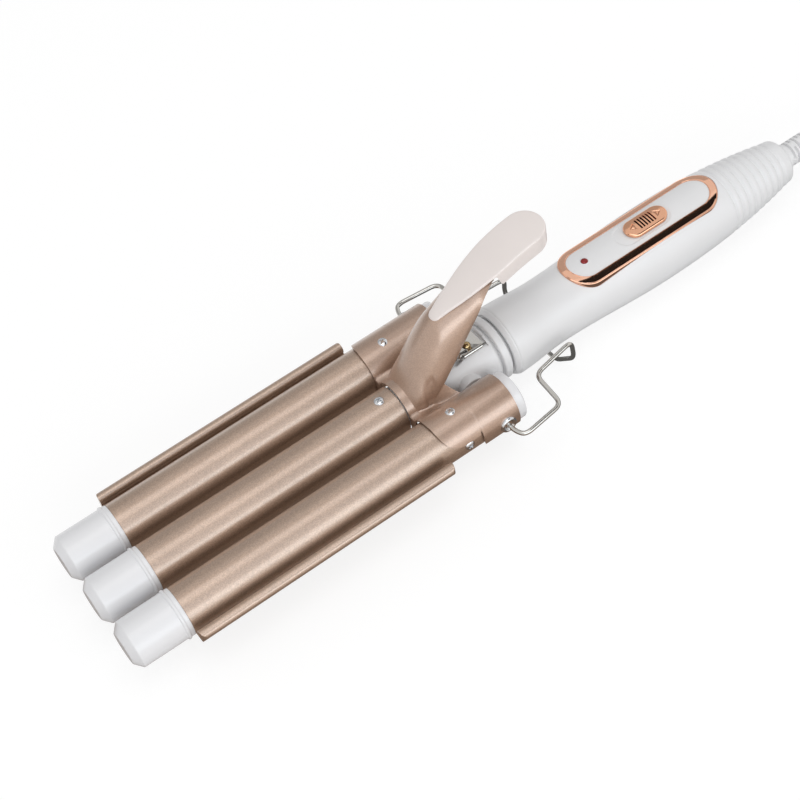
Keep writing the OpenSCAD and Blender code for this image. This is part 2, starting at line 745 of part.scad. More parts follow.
module valley(side) {
    outer = pitch - sqrt(plate_r * plate_r - valley_z * valley_z) + 0.4;
    inner = 0.92 * barrel_r;
    sided(side) translate([0, 0, valley_z - plate_t]) linear_extrude(plate_t)
        polygon([[wing_start, inner], [wing_start, outer], [pivot_x - 9.5, outer],
            [edge_x0 - 2.5, inner]]);
}

module lever_plate() {
    stations = 20;
    color("rosybrown") placed() union() {
        for (side = [-1, 1]) {
            wing(side);
            valley(side);
        }
        skin([for (i = [-1 : stations])
            let (x = i < 0 ? wing_start : lever_x + (lever_run - 1.6) * i / stations,
                top = lever_top(x), foot = lever_foot(x))
            arch_ring(x, lever_w(x), top, foot, plate_t, min(lever_t(x), 0.6 * (top - foot)),
                16, lever_power(x))], true);
    }
}

function cover_top(x) = cover_t + 0.1 + lever_top(min(x, lever_tip))
    + cover_rise * (1 - pow(1 - max(0, x - lever_tip) / (cover_x + cover_len - lever_tip), 2));
function cover_half(x) = let (s = x - cover_x, nose = 0.32 * cover_w, back = s - cover_len + cover_w)
    s < nose ? nose * sqrt(max(0.04, 1 - pow(1 - s / nose, 2)))
    : back > 0 ? cover_w * sqrt(max(0.01, 1 - pow(back / cover_w, 2)))
    : cover_w * curve(s / cover_len, cover_plan);
// Foot of the cover: a thin rim that follows the lever, then a skirt behind the lever's tip
function cover_foot(x, w) = let (top = cover_top(x), s = min(1, max(0, (x - lever_tip - 0.5) / 4)))
    min(top - 1.2 * cover_t, s > 0 ? top - 2.4 - (cover_skirt - 2.4) * s
        : max(top - 2.4, lever_at(x, w - cover_t) + 0.15));

module thumb_cover() {
    nose = 0.32 * cover_w;
    shares = concat([for (a = [0 : 15 : 90]) nose * (1 - cos(a))],
        [for (i = [1 : 22]) nose + (cover_len - cover_w - nose) * i / 22],
        [for (a = [10 : 10 : 90]) cover_len - cover_w + cover_w * sin(a)]);
    color("linen") placed() skin([for (s = shares) let (x = cover_x + s, w = cover_half(x),
            top = cover_top(x), foot = cover_foot(x, w))
        arch_ring(x, w, top, foot, min(cover_t, 0.6 * w), min(cover_t, 0.8 * (top - foot)),
            16, 0.62)], true);
}

module wing_screws() {
    color("silver") placed() for (side = [-1, 1]) wing_screw_spots(side) screw(screw_r, 5);
}

module outer_barrel(side) {
    y = side * pitch;
    difference() {
        tube_x(0, wing_end, barrel_r, bore_r, y);
        sided(side) {
            rod_y(pitch, pitch + 20, wire_r + 0.5, pivot_x);
            rod_y(pitch - 20, pitch, pivot_r + 0.2, pivot_x);
        }
        wing_screw_spots(side) translate([0, 0, -5]) cylinder(h = 8, r = 0.5 * screw_r + 0.15);
    }
}

module left_barrel() {
    color("rosybrown") placed() outer_barrel(1);
}

module right_barrel() {
    color("rosybrown") placed() outer_barrel(-1);
}

module left_tip_cap() {
    color("white") placed() tip_cap(pitch);
}

module right_tip_cap() {
    color("white") placed() tip_cap(-pitch);
}

module side_rail(side) {
    out = barrel_r + rail_reach;
    r = rail_bead / 2;
    mid = out - r;
    z = rail_top - r;
    end = 2.6;
    sided(side) difference() {
        translate([0, pitch, 0]) rotate([90, 0, 90]) linear_extrude(barrel_len) union() {
            translate([mid, z]) circle(r);
            // strip from the barrel, and the web that carries the bead
            polygon([[barrel_r - 1.5, -rail_drop], [mid, -rail_drop], [mid + 0.8 * r, z - 0.6 * r],
                [mid - 0.8 * r, z - 0.6 * r], [mid - rail_t, rail_t - rail_drop],
                [barrel_r - 1.5, rail_t - rail_drop]]);
        }
        rod_x(-1, barrel_len + 1, barrel_r, pitch);
        for (x = [0, barrel_len]) difference() {
            translate([x == 0 ? -1 : x - end, pitch + out - end, -10]) cube([end + 1, end + 1, 20]);
            translate([x == 0 ? end : x - end, pitch + out - end, -11]) cylinder(h = 22, r = end);
        }
    }
}

module left_side_rail() {
    color("rosybrown") placed() side_rail(1);
}

module right_side_rail() {
    color("rosybrown") placed() side_rail(-1);
}

module rear_cap(side) {
    y = side * pitch;
    inner = 7.5;
    end = wing_end + rear_cap_len;
    difference() {
        turned([[inner, screw_x - 7], [bore_r - fit, screw_x - 7], [bore_r - fit, wing_end],
            [barrel_r + 0.3, wing_end], [barrel_r + 0.3, end - 2.2], [barrel_r - 0.4, end - 0.8],
            [barrel_r - 2, end], [0, end], [0, end - 2], [inner, end - 2]], y);
        sided(side) {
            rod_y(pitch, pitch + 20, wire_r + 0.3, pivot_x);
            rod_y(pitch - 20, pitch, pivot_r, pivot_x);
        }
        wing_screw_spots(side) translate([0, 0, -8]) cylinder(h = 9, r = 0.5 * screw_r);
    }
}

module left_rear_cap() {
    color("white") placed() rear_cap(1);
}

module right_rear_cap() {
    color("white") placed() rear_cap(-1);
}

cup_r = 4.6;
cup_h = 1.8;
module stand_cup(side) {
    face = plate_r + cup_h;
    sided(side) difference() {
        translate([pivot_x, pitch, 0]) rotate([-90, 0, 0]) rotate_extrude()
            polygon([[wire_r + run_clear, barrel_r - 1], [cup_r, barrel_r - 1],
                [cup_r, face - 1], [cup_r - 0.8, face - 0.3], [wire_r + 1.4, face],
                [wire_r + run_clear, face - 0.4]]);
        rod_x(pivot_x - 10, pivot_x + 10, plate_r, pitch);
    }
}

module left_stand_cup() {
    color("silver") placed() stand_cup(1);
}

module right_stand_cup() {
    color("silver") placed() stand_cup(-1);
}

module left_heater() {
    color("silver") placed() heater(pitch);
}

module right_heater() {
    color("silver") placed() heater(-pitch);
}

module pivot_pin(side) {
    sided(side) rod_y(neck_r(pivot_x) - 3.8, pitch - 7.6, pivot_r, pivot_x);
}

module left_pivot_pin() {
    color("silver") placed() pivot_pin(1);
}

module right_pivot_pin() {
    color("silver") placed() pivot_pin(-1);
}

// The wire stand, one bent wire with its two ends in the cups
stand_side = 13.2;
stand_run = 24.5;
bar_half = 14;
module wire_stand() {
    out_y = pitch + plate_r + stand_out;
    side_y = handle_front_d / 2 + stand_side;
    half = [[pivot_x, pitch + plate_r + 2.1, 0], [pivot_x, out_y - 0.5 * stand_out, 0],
        [pivot_x + 2.6, out_y, 0],
        [pivot_x + stand_run, out_y - 3, 2.4], [pivot_x + stand_run + 3, side_y, 3],
        [bar_x, side_y - 4.7, 5.5], [bar_x - 1, side_y - 3.4, -6], [bar_x - 0.3, bar_half, bar_z]];
    route = concat(half, [for (i = [len(half) - 1 : -1 : 0]) [half[i][0], -half[i][1], half[i][2]]]);
    color("silver") placed() {
        skin(tube_rings(bent(route, 2.2), 0.985 * wire_r, 12, [0, 0, 1]));
        for (side = [-1, 1]) sided(side)
            rod_y(pitch + 8, pitch + plate_r + 2.7, wire_r, pivot_x);
    }
}

// Cord, coil and plug

floor_z = -rest_h;
lead_end = relief_end + lead_route[len(lead_route) - 1][0];
coil_rows = 3;
coil_h = coil_rows * cord_d;
coil_x = lead_end + 24;
coil_y = -coil_d / 2;
tail_x0 = coil_x - 24;
tail_y = coil_y - coil_d / 2;

module cord_lead() {
    color("white") placed()
        skin(tube_rings([for (p = lead_route) p + [relief_end, 0, 0]], cord_r, 12, [0, 1, 0]));
}

module cord_coil() {
    color("white") placed() translate([coil_x, coil_y, floor_z]) rotate_extrude()
        translate([coil_d / 2 - coil_h / 2, 0]) square(coil_h);
}

module cord_tie() {
    color("dimgray") placed() translate([coil_x + coil_d / 2, coil_y, floor_z]) difference() {
        translate([-coil_h / 2 - 1.1, -2.5, 0]) cube([coil_h + 2, 5, coil_h + 0.9]);
        translate([-coil_h / 2 - 0.2, -3, -1]) cube([coil_h + 0.2, 6, coil_h + 1]);
    }
}

module cord_tail() {
    color("white") placed()
        skin(tube_rings([for (p = tail_route) p + [tail_x0, tail_y, 0]], cord_r, 12, [0, 1, 0]));
}

plug_h = 13.8;
plug_w = 25;
plug_len = 33;
plug_x = tail_x0 + tail_route[len(tail_route) - 1][0];
pin_gap = 19;
pin_r = 2;
pin_len = 19;
pin_root_r = 1.6;
pin_root = 8;
module plug_body() {
    color("white") placed() translate([plug_x, tail_y, floor_z + plug_h / 2]) difference() {
        union() {
            rotate([0, -90, 0]) cylinder(h = 16, r1 = cord_r + 1, r2 = cord_r + 2.6);
            translate([-16, 0, -plug_h / 2]) linear_extrude(plug_h)
                polygon([[0.2, -6.5], [0.2, 6.5], [-12, plug_w / 2], [-plug_len, plug_w / 2],
                    [-plug_len, -plug_w / 2], [-12, -plug_w / 2]]);
        }
        for (y = [-pin_gap / 2, pin_gap / 2])
            rod_x(-16 - plug_len - 1, -16 - plug_len + pin_root, pin_root_r, y);
    }
}

module plug_pins() {
    color("silver") placed() translate([plug_x - 16 - plug_len, tail_y, floor_z + plug_h / 2])
        for (y = [-pin_gap / 2, pin_gap / 2]) {
            rod_x(-pin_len, 0, pin_r, y);
            rod_x(-0.5, pin_root, pin_root_r, y);
        }
}

handle_housing();
collar_ring();
neck();
middle_barrel();
middle_tip_cap();
middle_barrel_screw();
spring_bracket();
bracket_rivet();
bracket_pin();
spring_arbor();
torsion_spring();
bezel();
switch_panel();
led_lens();
switch_body();
circuit_board();
thermal_fuse();
cord_clamp();
clamp_screws();
handle_screws();
strain_relief();
cord_inner();
middle_heater();
heater_leads();
switch_slider();
left_barrel();
right_barrel();
left_tip_cap();
right_tip_cap();
left_side_rail();
right_side_rail();
lever_plate();
thumb_cover();
wing_screws();
left_rear_cap();
right_rear_cap();
left_stand_cup();
right_stand_cup();
left_heater();
right_heater();
left_pivot_pin();
right_pivot_pin();
wire_stand();
cord_lead();
cord_coil();
cord_tie();
cord_tail();
plug_body();
plug_pins();
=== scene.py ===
import json
import math
import bpy
import bmesh
import numpy as np
from mathutils import Matrix, Vector


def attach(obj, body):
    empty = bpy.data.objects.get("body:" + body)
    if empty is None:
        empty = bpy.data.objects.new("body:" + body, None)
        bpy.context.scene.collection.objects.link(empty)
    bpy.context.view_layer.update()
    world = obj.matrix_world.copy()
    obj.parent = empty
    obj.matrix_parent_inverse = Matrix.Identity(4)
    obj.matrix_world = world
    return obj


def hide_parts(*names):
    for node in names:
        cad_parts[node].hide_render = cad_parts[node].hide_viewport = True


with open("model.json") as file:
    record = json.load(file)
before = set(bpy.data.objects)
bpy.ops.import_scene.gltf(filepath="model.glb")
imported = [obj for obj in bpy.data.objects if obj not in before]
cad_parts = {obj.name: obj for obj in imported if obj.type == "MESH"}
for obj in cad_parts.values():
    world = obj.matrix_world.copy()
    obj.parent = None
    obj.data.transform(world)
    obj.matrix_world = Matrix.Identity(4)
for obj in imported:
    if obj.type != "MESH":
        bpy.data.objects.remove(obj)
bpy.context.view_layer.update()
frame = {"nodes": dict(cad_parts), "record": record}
nodes = frame["nodes"]
toPart = np.array([-199.65, 0.0, 21.85])  # from the drawing frame, in mm, to the part's own frame
print("frame loaded:", len(nodes), "nodes")


def addObject(name, data):
    obj = bpy.data.objects.new(name, data)
    bpy.context.scene.collection.objects.link(obj)
    return obj


# camera
cameraSet = {
    "place": (-0.28103, -0.47843, 0.70103),
    "right": (0.80978, -0.57154, -0.13264),
    "up": (0.52364, 0.60202, 0.60280),
    "back": (-0.26468, -0.55760, 0.78679),
    "lens": 79.13,
}


def makeCamera(s):
    lensData = bpy.data.cameras.new("benchCamera")
    lensData.lens = s["lens"]
    lensData.sensor_width = 36
    lensData.clip_start, lensData.clip_end = 0.02, 20
    obj = addObject("benchCamera", lensData)
    turn = Matrix((s["right"], s["up"], s["back"])).transposed().to_4x4()
    obj.matrix_world = Matrix.Translation(s["place"]) @ turn
    bpy.context.scene.camera = obj


makeCamera(cameraSet)


# shape tools, all in drawing millimetres; a grid is (points, rows closed, columns closed)
def gridQuads(rows, cols, wrapRows, wrapCols):
    # quad (i, j) joins points (i, j), (i, j+1), (i+1, j+1), (i+1, j)
    i = np.arange(rows if wrapRows else rows - 1)[:, None]
    j = np.arange(cols if wrapCols else cols - 1)[None, :]
    nextI, nextJ = (i + 1) % rows, (j + 1) % cols
    return np.stack([i * cols + j, i * cols + nextJ, nextI * cols + nextJ, nextI * cols + j], -1).reshape(-1, 4)


def gridMesh(name, grids):
    # grids to one mesh in metres, with doubles merged and normals outward
    flat, quads, start = [], [], 0
    for points, wrapRows, wrapCols in grids:
        rows, cols = points.shape[:2]
        flat.append(points.reshape(-1, 3))
        quads.append(gridQuads(rows, cols, wrapRows, wrapCols) + start)
        start += rows * cols
    mesh = bpy.data.meshes.new(name)
    mesh.from_pydata(((np.concatenate(flat) + toPart) / 1000).tolist(), [], np.concatenate(quads).tolist())
    work = bmesh.new()
    work.from_mesh(mesh)
    bmesh.ops.remove_doubles(work, verts=work.verts, dist=3e-6)
    bmesh.ops.dissolve_degenerate(work, edges=work.edges, dist=1e-6)
    bmesh.ops.recalc_face_normals(work, faces=work.faces)
    work.to_mesh(mesh)
    work.free()
    return mesh


def makePiece(name, grids, look, node, crease=32, thick=0.0, cut=None, **ties):
    mesh = gridMesh(name, grids)
    if thick or cut:
        mesh = finishedMesh(name, mesh, thick, cut)
    return addPiece(name, mesh, look, node, crease, **ties)


def finishedMesh(name, mesh, thick, cut):
    # a wall of that thickness inside the surface, then a hole in the shape of cut
    holder = addObject(name + "Work", mesh)
    if thick:
        wall = holder.modifiers.new("wall", "SOLIDIFY")
        wall.thickness, wall.offset, wall.use_even_offset = thick / 1000, -1, True
    if cut:
        hole = holder.modifiers.new("hole", "BOOLEAN")
        hole.operation, hole.solver, hole.object = "DIFFERENCE", "EXACT", cut
    bpy.context.view_layer.update()
    made = bpy.data.meshes.new_from_object(holder.evaluated_get(bpy.context.evaluated_depsgraph_get()))
    bpy.data.objects.remove(holder)
    return made


def addPiece(name, mesh, look, node, crease, also=(), hide=True):
    # the piece rides on its node's body and gets the finish look, and stands for it and for the others in also
    mesh.shade_smooth()
    mesh.set_sharp_from_angle(angle=math.radians(crease))
    mesh.materials.clear()
    mesh.materials.append(finish[look])
    obj = addObject(name, mesh)
    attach(obj, bodyOf[node])
    if hide:
        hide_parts(node, *also)
        done.update((node, *also))
    return obj


def softLine(points, radius, steps=4):
    # each inner corner P becomes (1-s)²A + 2s(1-s)P + s²B, A and B lying radius away along its two sides
    p = np.asarray(points, float)
    s = np.linspace(0, 1, steps + 1)[:, None]
    out = [p[:1]]
    for before, corner, after in zip(p[:-2], p[1:-1], p[2:]):
        toBefore, toAfter = before - corner, after - corner
        a = corner + toBefore * min(radius / np.linalg.norm(toBefore), 0.45)
        b = corner + toAfter * min(radius / np.linalg.norm(toAfter), 0.45)
        out.append((1 - s) ** 2 * a + 2 * s * (1 - s) * corner + s * s * b)
    return np.concatenate(out + [p[-1:]])


def softLoop(points, radius, steps=4):
    # softLine round a closed outline
    p = np.asarray(points, float)
    return softLine(np.concatenate([p[-1:], p, p[:1]]), radius, steps)[1:-1]


def lathe(profile, y=0.0, z=0.0, sides=128, closed=False):
    # ring k of the profile (x, r) is the circle (x, y + r sin a, z + r cos a)
    line = np.asarray(profile, float)
    a = np.linspace(0, 2 * np.pi, sides, endpoint=False)
    x = np.repeat(line[:, :1], sides, 1)
    return np.stack([x, y + line[:, 1:] * np.sin(a), z + line[:, 1:] * np.cos(a)], -1), closed, True


def sweep(path, section, up=(0, 0, 1), closed=False):
    # section (a, b) is carried along the path in a frame that turns no more than the path does
    p = np.asarray(path, float)
    ahead = np.roll(p, -1, 0) - np.roll(p, 1, 0) if closed else np.gradient(p, axis=0)
    ahead /= np.linalg.norm(ahead, axis=1)[:, None]
    side = np.empty_like(p)
    last = np.asarray(up, float)
    for k, t in enumerate(ahead):
        last = last - t * last.dot(t)
        last /= np.linalg.norm(last)
        side[k] = last
    cross = np.cross(ahead, side)
    sec = np.asarray(section, float)
    points = p[:, None] + sec[None, :, :1] * side[:, None] + sec[None, :, 1:] * cross[:, None]
    if not closed:  # the end rows shrink to the path's ends and close them
        points = np.concatenate([np.repeat(p[:1, None], len(sec), 1), points, np.repeat(p[-1:, None], len(sec), 1)])
    return points, closed, True


def ring(radius, sides=20):
    # points (radius cos a, radius sin a) of a full circle
    a = np.linspace(0, 2 * np.pi, sides, endpoint=False)
    return np.stack([radius * np.cos(a), radius * np.sin(a)], -1)


def mirrored(grid):
    # the same grid on the other side of the plane y = 0
    return (grid[0] * np.array([1, -1, 1]), *grid[1:])


def smoothStep(a, b, x):
    # 0 up to a, 1 from b on, and 3s² - 2s³ between them
    s = np.clip((x - a) / (b - a), 0, 1)
    return s * s * (3 - 2 * s)


def wave(a, b, x):
    # half a cosine wave, 0 at a and 1 at b
    return (1 - np.cos(np.pi * (x - a) / (b - a))) / 2


def roundedGrid(length, width, ends, run, v):
    # x and y over a flat outline with round ends: x steps along it, y is its half width there times v
    r, half = width / 2, (length - width) / 2
    x = np.concatenate([-half + r * np.cos(np.linspace(np.pi, np.pi / 2, ends)), np.linspace(-half, half, run)[1:-1],
                        half + r * np.cos(np.linspace(np.pi / 2, 0, ends))])[:, None]
    edge = np.sqrt(np.maximum(r * r - np.maximum(np.abs(x) - half, 0) ** 2, 0))
    return np.repeat(x, len(v), 1), edge * v[None]


def slab(top, lowZ):
    # a top, a floor of height lowZ under it, and a strip down each long side
    low = top.copy()
    low[..., 2] = lowZ
    strips = [(np.stack([top[:, col], low[:, col]], 1), False, False) for col in (0, -1)]
    return [(top, False, False), (low[::-1], False, False)] + strips


def alongTable(x, table):
    # smooth curve through the table's points, cubic between them with slopes from their neighbours
    t = np.asarray(table, float)
    after, before = np.minimum(np.arange(len(t)) + 1, len(t) - 1), np.maximum(np.arange(len(t)) - 1, 0)
    slope = (t[after, 1] - t[before, 1]) / (t[after, 0] - t[before, 0])
    i = np.clip(np.searchsorted(t[:, 0], x, side="right") - 1, 0, len(t) - 2)
    h = t[i + 1, 0] - t[i, 0]
    s = np.clip((x - t[i, 0]) / h, 0, 1)
    return (t[i, 1] * (2 * s**3 - 3 * s**2 + 1) + slope[i] * h * (s**3 - 2 * s**2 + s)
            + t[i + 1, 1] * (3 * s**2 - 2 * s**3) + slope[i + 1] * h * (s**3 - s**2))


# finishes
def addNode(tree, kind, **inputs):
    made = tree.nodes.new(kind)
    for key, value in inputs.items():
        made.inputs[key].default_value = value
    return made


def spanOf(tree, value, low, high):
    # a value from 0 to 1 becomes one from low to high
    made = addNode(tree, "ShaderNodeMapRange", **{"To Min": low, "To Max": high})
    tree.links.new(value, made.inputs["Value"])
    return made.outputs["Result"]


def scaled(tree, colour, factor):
    made = tree.nodes.new("ShaderNodeVectorMath")
    made.operation = "SCALE"
    tree.links.new(colour, made.inputs[0])
    tree.links.new(factor, made.inputs["Scale"])
    return made.outputs["Vector"]


def fromHex(code):
    c = np.array([int(code[i:i + 2], 16) / 255 for i in (0, 2, 4)])
    return tuple(np.where(c <= 0.04045, c / 12.92, ((c + 0.055) / 1.055) ** 2.4).tolist())


def paint(name, code, rough, metal=0.0, tint=0.03, grain=900.0, bump=0.02, coat=0.0, coatRough=0.1, cloud=60.0,
          roughSpread=0.05, flake=0.0, paintedShade=0.0, coatIor=1.5):
    # a lacquered or moulded surface: soft colour drift, fine grain in the gloss, a faint bump, flakes, and painted
    # shade that darkens what lies deep
    colour = fromHex(code)
    material = bpy.data.materials.new(name)
    material.use_nodes = True
    tree = material.node_tree
    shader = tree.nodes["Principled BSDF"]
    link = tree.links.new
    spot = tree.nodes.new("ShaderNodeTexCoord")
    drift = addNode(tree, "ShaderNodeTexNoise", Scale=cloud, Detail=3.0)
    fine = addNode(tree, "ShaderNodeTexNoise", Scale=grain, Detail=2.0)
    for noise in (drift, fine):
        link(spot.outputs["Object"], noise.inputs["Vector"])
    ramp = tree.nodes.new("ShaderNodeValToRGB")
    low, high = ramp.color_ramp.elements
    low.position, high.position = 0.35, 0.65
    low.color = (*[c * (1 - tint) for c in colour], 1)
    high.color = (*[min(1, c * (1 + tint)) for c in colour], 1)
    link(drift.outputs["Fac"], ramp.inputs["Fac"])
    body = ramp.outputs["Color"]
    if flake:
        speck = addNode(tree, "ShaderNodeTexVoronoi", Scale=grain)
        link(spot.outputs["Object"], speck.inputs["Vector"])
        split = tree.nodes.new("ShaderNodeSeparateColor")
        link(speck.outputs["Color"], split.inputs["Color"])
        body = scaled(tree, body, spanOf(tree, split.outputs["Red"], 1 - flake, 1 + flake))
    # painted shade: the base colour is darkened where the attribute is high, in grooves and other hollows
    if paintedShade:
        shadeAttribute = addNode(tree, "ShaderNodeAttribute")
        shadeAttribute.attribute_name = "paintedShade"
        body = scaled(tree, body, spanOf(tree, shadeAttribute.outputs["Fac"], 1, 1 - paintedShade))
    link(body, shader.inputs["Base Color"])
    link(spanOf(tree, fine.outputs["Fac"], rough - roughSpread, rough + roughSpread), shader.inputs["Roughness"])
    relief = addNode(tree, "ShaderNodeBump", Strength=bump, Distance=0.0003)
    link(fine.outputs["Fac"], relief.inputs["Height"])
    link(relief.outputs["Normal"], shader.inputs["Normal"])
    shader.inputs["Metallic"].default_value = metal
    shader.inputs["Coat Weight"].default_value = coat
    shader.inputs["Coat Roughness"].default_value = coatRough
    shader.inputs["Coat IOR"].default_value = coatIor
    return material


finishSet = {
    "barrelCoat": dict(code="AE9480", rough=0.38, metal=0.62, grain=2600.0, bump=0.2, cloud=35.0, roughSpread=0.06,
                       flake=0.16, coat=0.9, coatRough=0.2, coatIor=1.75),
    "plateCoat": dict(code="AC8F7B", rough=0.36, metal=0.6, grain=2600.0, bump=0.15, cloud=45.0, flake=0.1,
                      coat=0.9, coatRough=0.2, coatIor=1.75),
    "whiteShell": dict(code="E9E9EA", rough=0.38, tint=0.006, bump=0.03),
    "capShell": dict(code="ECECEE", rough=0.25, tint=0.006),
    "thumbShell": dict(code="EFE6E2", rough=0.3, tint=0.01, coat=0.3, coatRough=0.12),
    "roseGold": dict(code="F0BCA0", rough=0.07, metal=1.0, tint=0.02, bump=0.01, roughSpread=0.02),
    # roseGroove: rose gold with painted shade in the slider's grooves and arrow marks
    "roseGroove": dict(code="E8B08F", rough=0.12, metal=1.0, tint=0.02, bump=0.01, roughSpread=0.02, paintedShade=0.92),
    "nickelWire": dict(code="C2BFBA", rough=0.16, metal=1.0, tint=0.02, bump=0.05),
    "chromePart": dict(code="D2D3D5", rough=0.08, metal=1.0, tint=0.01, bump=0.01, roughSpread=0.02),
    "brassRivet": dict(code="B39A70", rough=0.16, metal=1.0),
    "springSteel": dict(code="6E6A66", rough=0.3, metal=1.0),
    "cordSheath": dict(code="E9E9E8", rough=0.45, bump=0.05),
    "tieBlack": dict(code="2A2A2C", rough=0.6, bump=0.3, grain=1500.0),
    "blackMoulding": dict(code="2B2B2D", rough=0.5),
    "redLens": dict(code="8C1010", rough=0.12, tint=0.2, cloud=900.0),
    "boardGreen": dict(code="2F6B43", rough=0.5),
    "fuseSleeve": dict(code="C9B38A", rough=0.6),
    "heaterCeramic": dict(code="D8D4CC", rough=0.6),
    "leadSleeve": dict(code="A83A30", rough=0.6),
}
finish = {name: paint(name, **look) for name, look in finishSet.items()}
slotFinish = {
    "barrel_plate": "barrelCoat", "white_plastic": "whiteShell", "rose_metallic": "roseGold",
    "steel": "nickelWire", "brass": "brassRivet", "dark_steel": "springSteel", "cord_sheath": "cordSheath",
    "dark_plastic": "blackMoulding", "red_lens": "redLens", "board": "boardGreen",
    "fuse_sleeve": "fuseSleeve", "ceramic_heater": "heaterCeramic", "lead_sleeve": "leadSleeve",
}
slotOf = {s["node"]: s["material_slot"] for s in frame["record"]["subparts"]}
bodyOf = {n: b for b, names in frame["record"]["behaviour"]["bodies"].items() for n in names}
done = set()
print("finishes made:", len(finish))

# cord, coil, tie and plug
cordSet = {
    "radius": 3.0, "exitX": 430.3, "rest": -18.7, "coil": (516.3, -33.0), "plugX": 460.3, "plugY": -66.0,
    "plugZ": -14.95, "swingX": 452, "radii": [39.1, 33.1, 27.1, 27.1, 33.1, 39.1, 39.1],
    "layers": [0, 0, 0, 6.0, 6.0, 6.0, 12.0], "shift": (190, 345), "swell": (267.5, 220, 2.3),
    "drop": [[0, 0], [6, 0], [12, -0.5], [18, -2.2], [24, -4.8], [31, -9.4], [38, -13.9], [44, -16.5],
             [50, -18.2], [56, -18.7], [90, -18.7]],
    "tieX": 33.0, "tieZ": -21.5, "tieHalf": 9.5, "tieHigh": 18.75, "strap": (0.35, 2.5),
}


def cordPath(s):
    # lead: the drop table along x, eased sideways to the coil. Coil: turns of fixed radius and layer that ease to
    # the next turn's inside the shift angles, with a swell where a turn climbs. Tail: eased from the top into the plug
    cx, cy = s["coil"]
    rest = s["rest"]
    x = np.linspace(s["exitX"], cx, 24, endpoint=False)
    lead = np.stack([x, (cy + s["radii"][0]) * smoothStep(s["swingX"], cx, x),
                     alongTable(x - s["exitX"], s["drop"])], -1)
    turns = len(s["radii"]) - 0.5
    angle = np.linspace(0, turns * 360, int(turns * 48) + 1)
    k = np.minimum(angle // 360, len(s["radii"]) - 1).astype(int)
    after = np.minimum(k + 1, len(s["radii"]) - 1)
    share = smoothStep(*s["shift"], angle - 360 * k)
    radii, layers = np.array(s["radii"]), np.array(s["layers"])
    at, wide, high = s["swell"]
    swell = lambda turn: np.cos(np.pi * np.clip((angle - 360 * turn - at) / wide, -0.5, 0.5)) ** 2
    r = radii[k] + (radii[after] - radii[k]) * share + high * (swell(5) - swell(2))
    z = rest + layers[k] + (layers[after] - layers[k]) * share
    a = np.radians(angle)
    coil = np.stack([cx + r * np.sin(a), cy + r * np.cos(a), z], -1)
    x = np.linspace(cx, s["plugX"], 15)[1:]
    startY, startZ = coil[-1, 1], coil[-1, 2]
    endX = -s["plugX"]
    tail = np.stack([x, startY + (s["plugY"] - startY) * smoothStep(-512, endX, -x),
                     startZ + (s["plugZ"] - startZ) * smoothStep(-500, endX, -x)], -1)
    return np.concatenate([lead, coil, tail])


def makeCord(s):
    path = cordPath(s)
    cord = makePiece("mainsCord", [sweep(path, ring(s["radius"], 16))], "cordSheath", "cord_lead",
                     also=("cord_coil", "cord_tail"))
    cx, cy = s["coil"]
    wide, high = s["tieHalf"], s["tieHigh"]
    loop = softLoop([(-wide, 0.0), (-wide, high), (wide, high), (wide, 0.0)], 2.2)
    thin, flat = s["strap"]
    across = np.array([[-thin, -flat], [-thin, flat], [thin, flat], [thin, -flat]])
    strap = np.stack([cx + s["tieX"] + loop[:, 0], np.full(len(loop), cy), s["tieZ"] + loop[:, 1]], -1)
    tie = makePiece("tieStrap", [sweep(strap, across, up=(1, 0, 0.3), closed=True)], "tieBlack", "cord_tie")
    plug, pins = makePlug()


plugSet = {
    # along -x from the cord: distance, half width, half height, squareness
    "stations": [[0, 3.2, 3.2, 2.0], [0.4, 4.0, 4.0, 2.0], [4, 4.2, 4.2, 2.0], [9, 5.0, 4.7, 2.2], [14, 6.2, 5.4, 2.5],
                 [17, 7.6, 6.4, 3.0], [24, 11.2, 6.8, 4.0], [30, 12.4, 6.9, 5.0], [40, 12.5, 6.9, 6.0],
                 [47.4, 12.4, 6.85, 6.0], [48.7, 11.9, 6.4, 6.0], [49, 11.2, 5.8, 6.0]],
    "axis": (460.3, -66.0, -14.95), "ribs": (1, 13, 2.4, 0.35), "sides": 72,
    "pinGap": 19.0, "pinLen": 19.0, "pinR": 2.0,
}


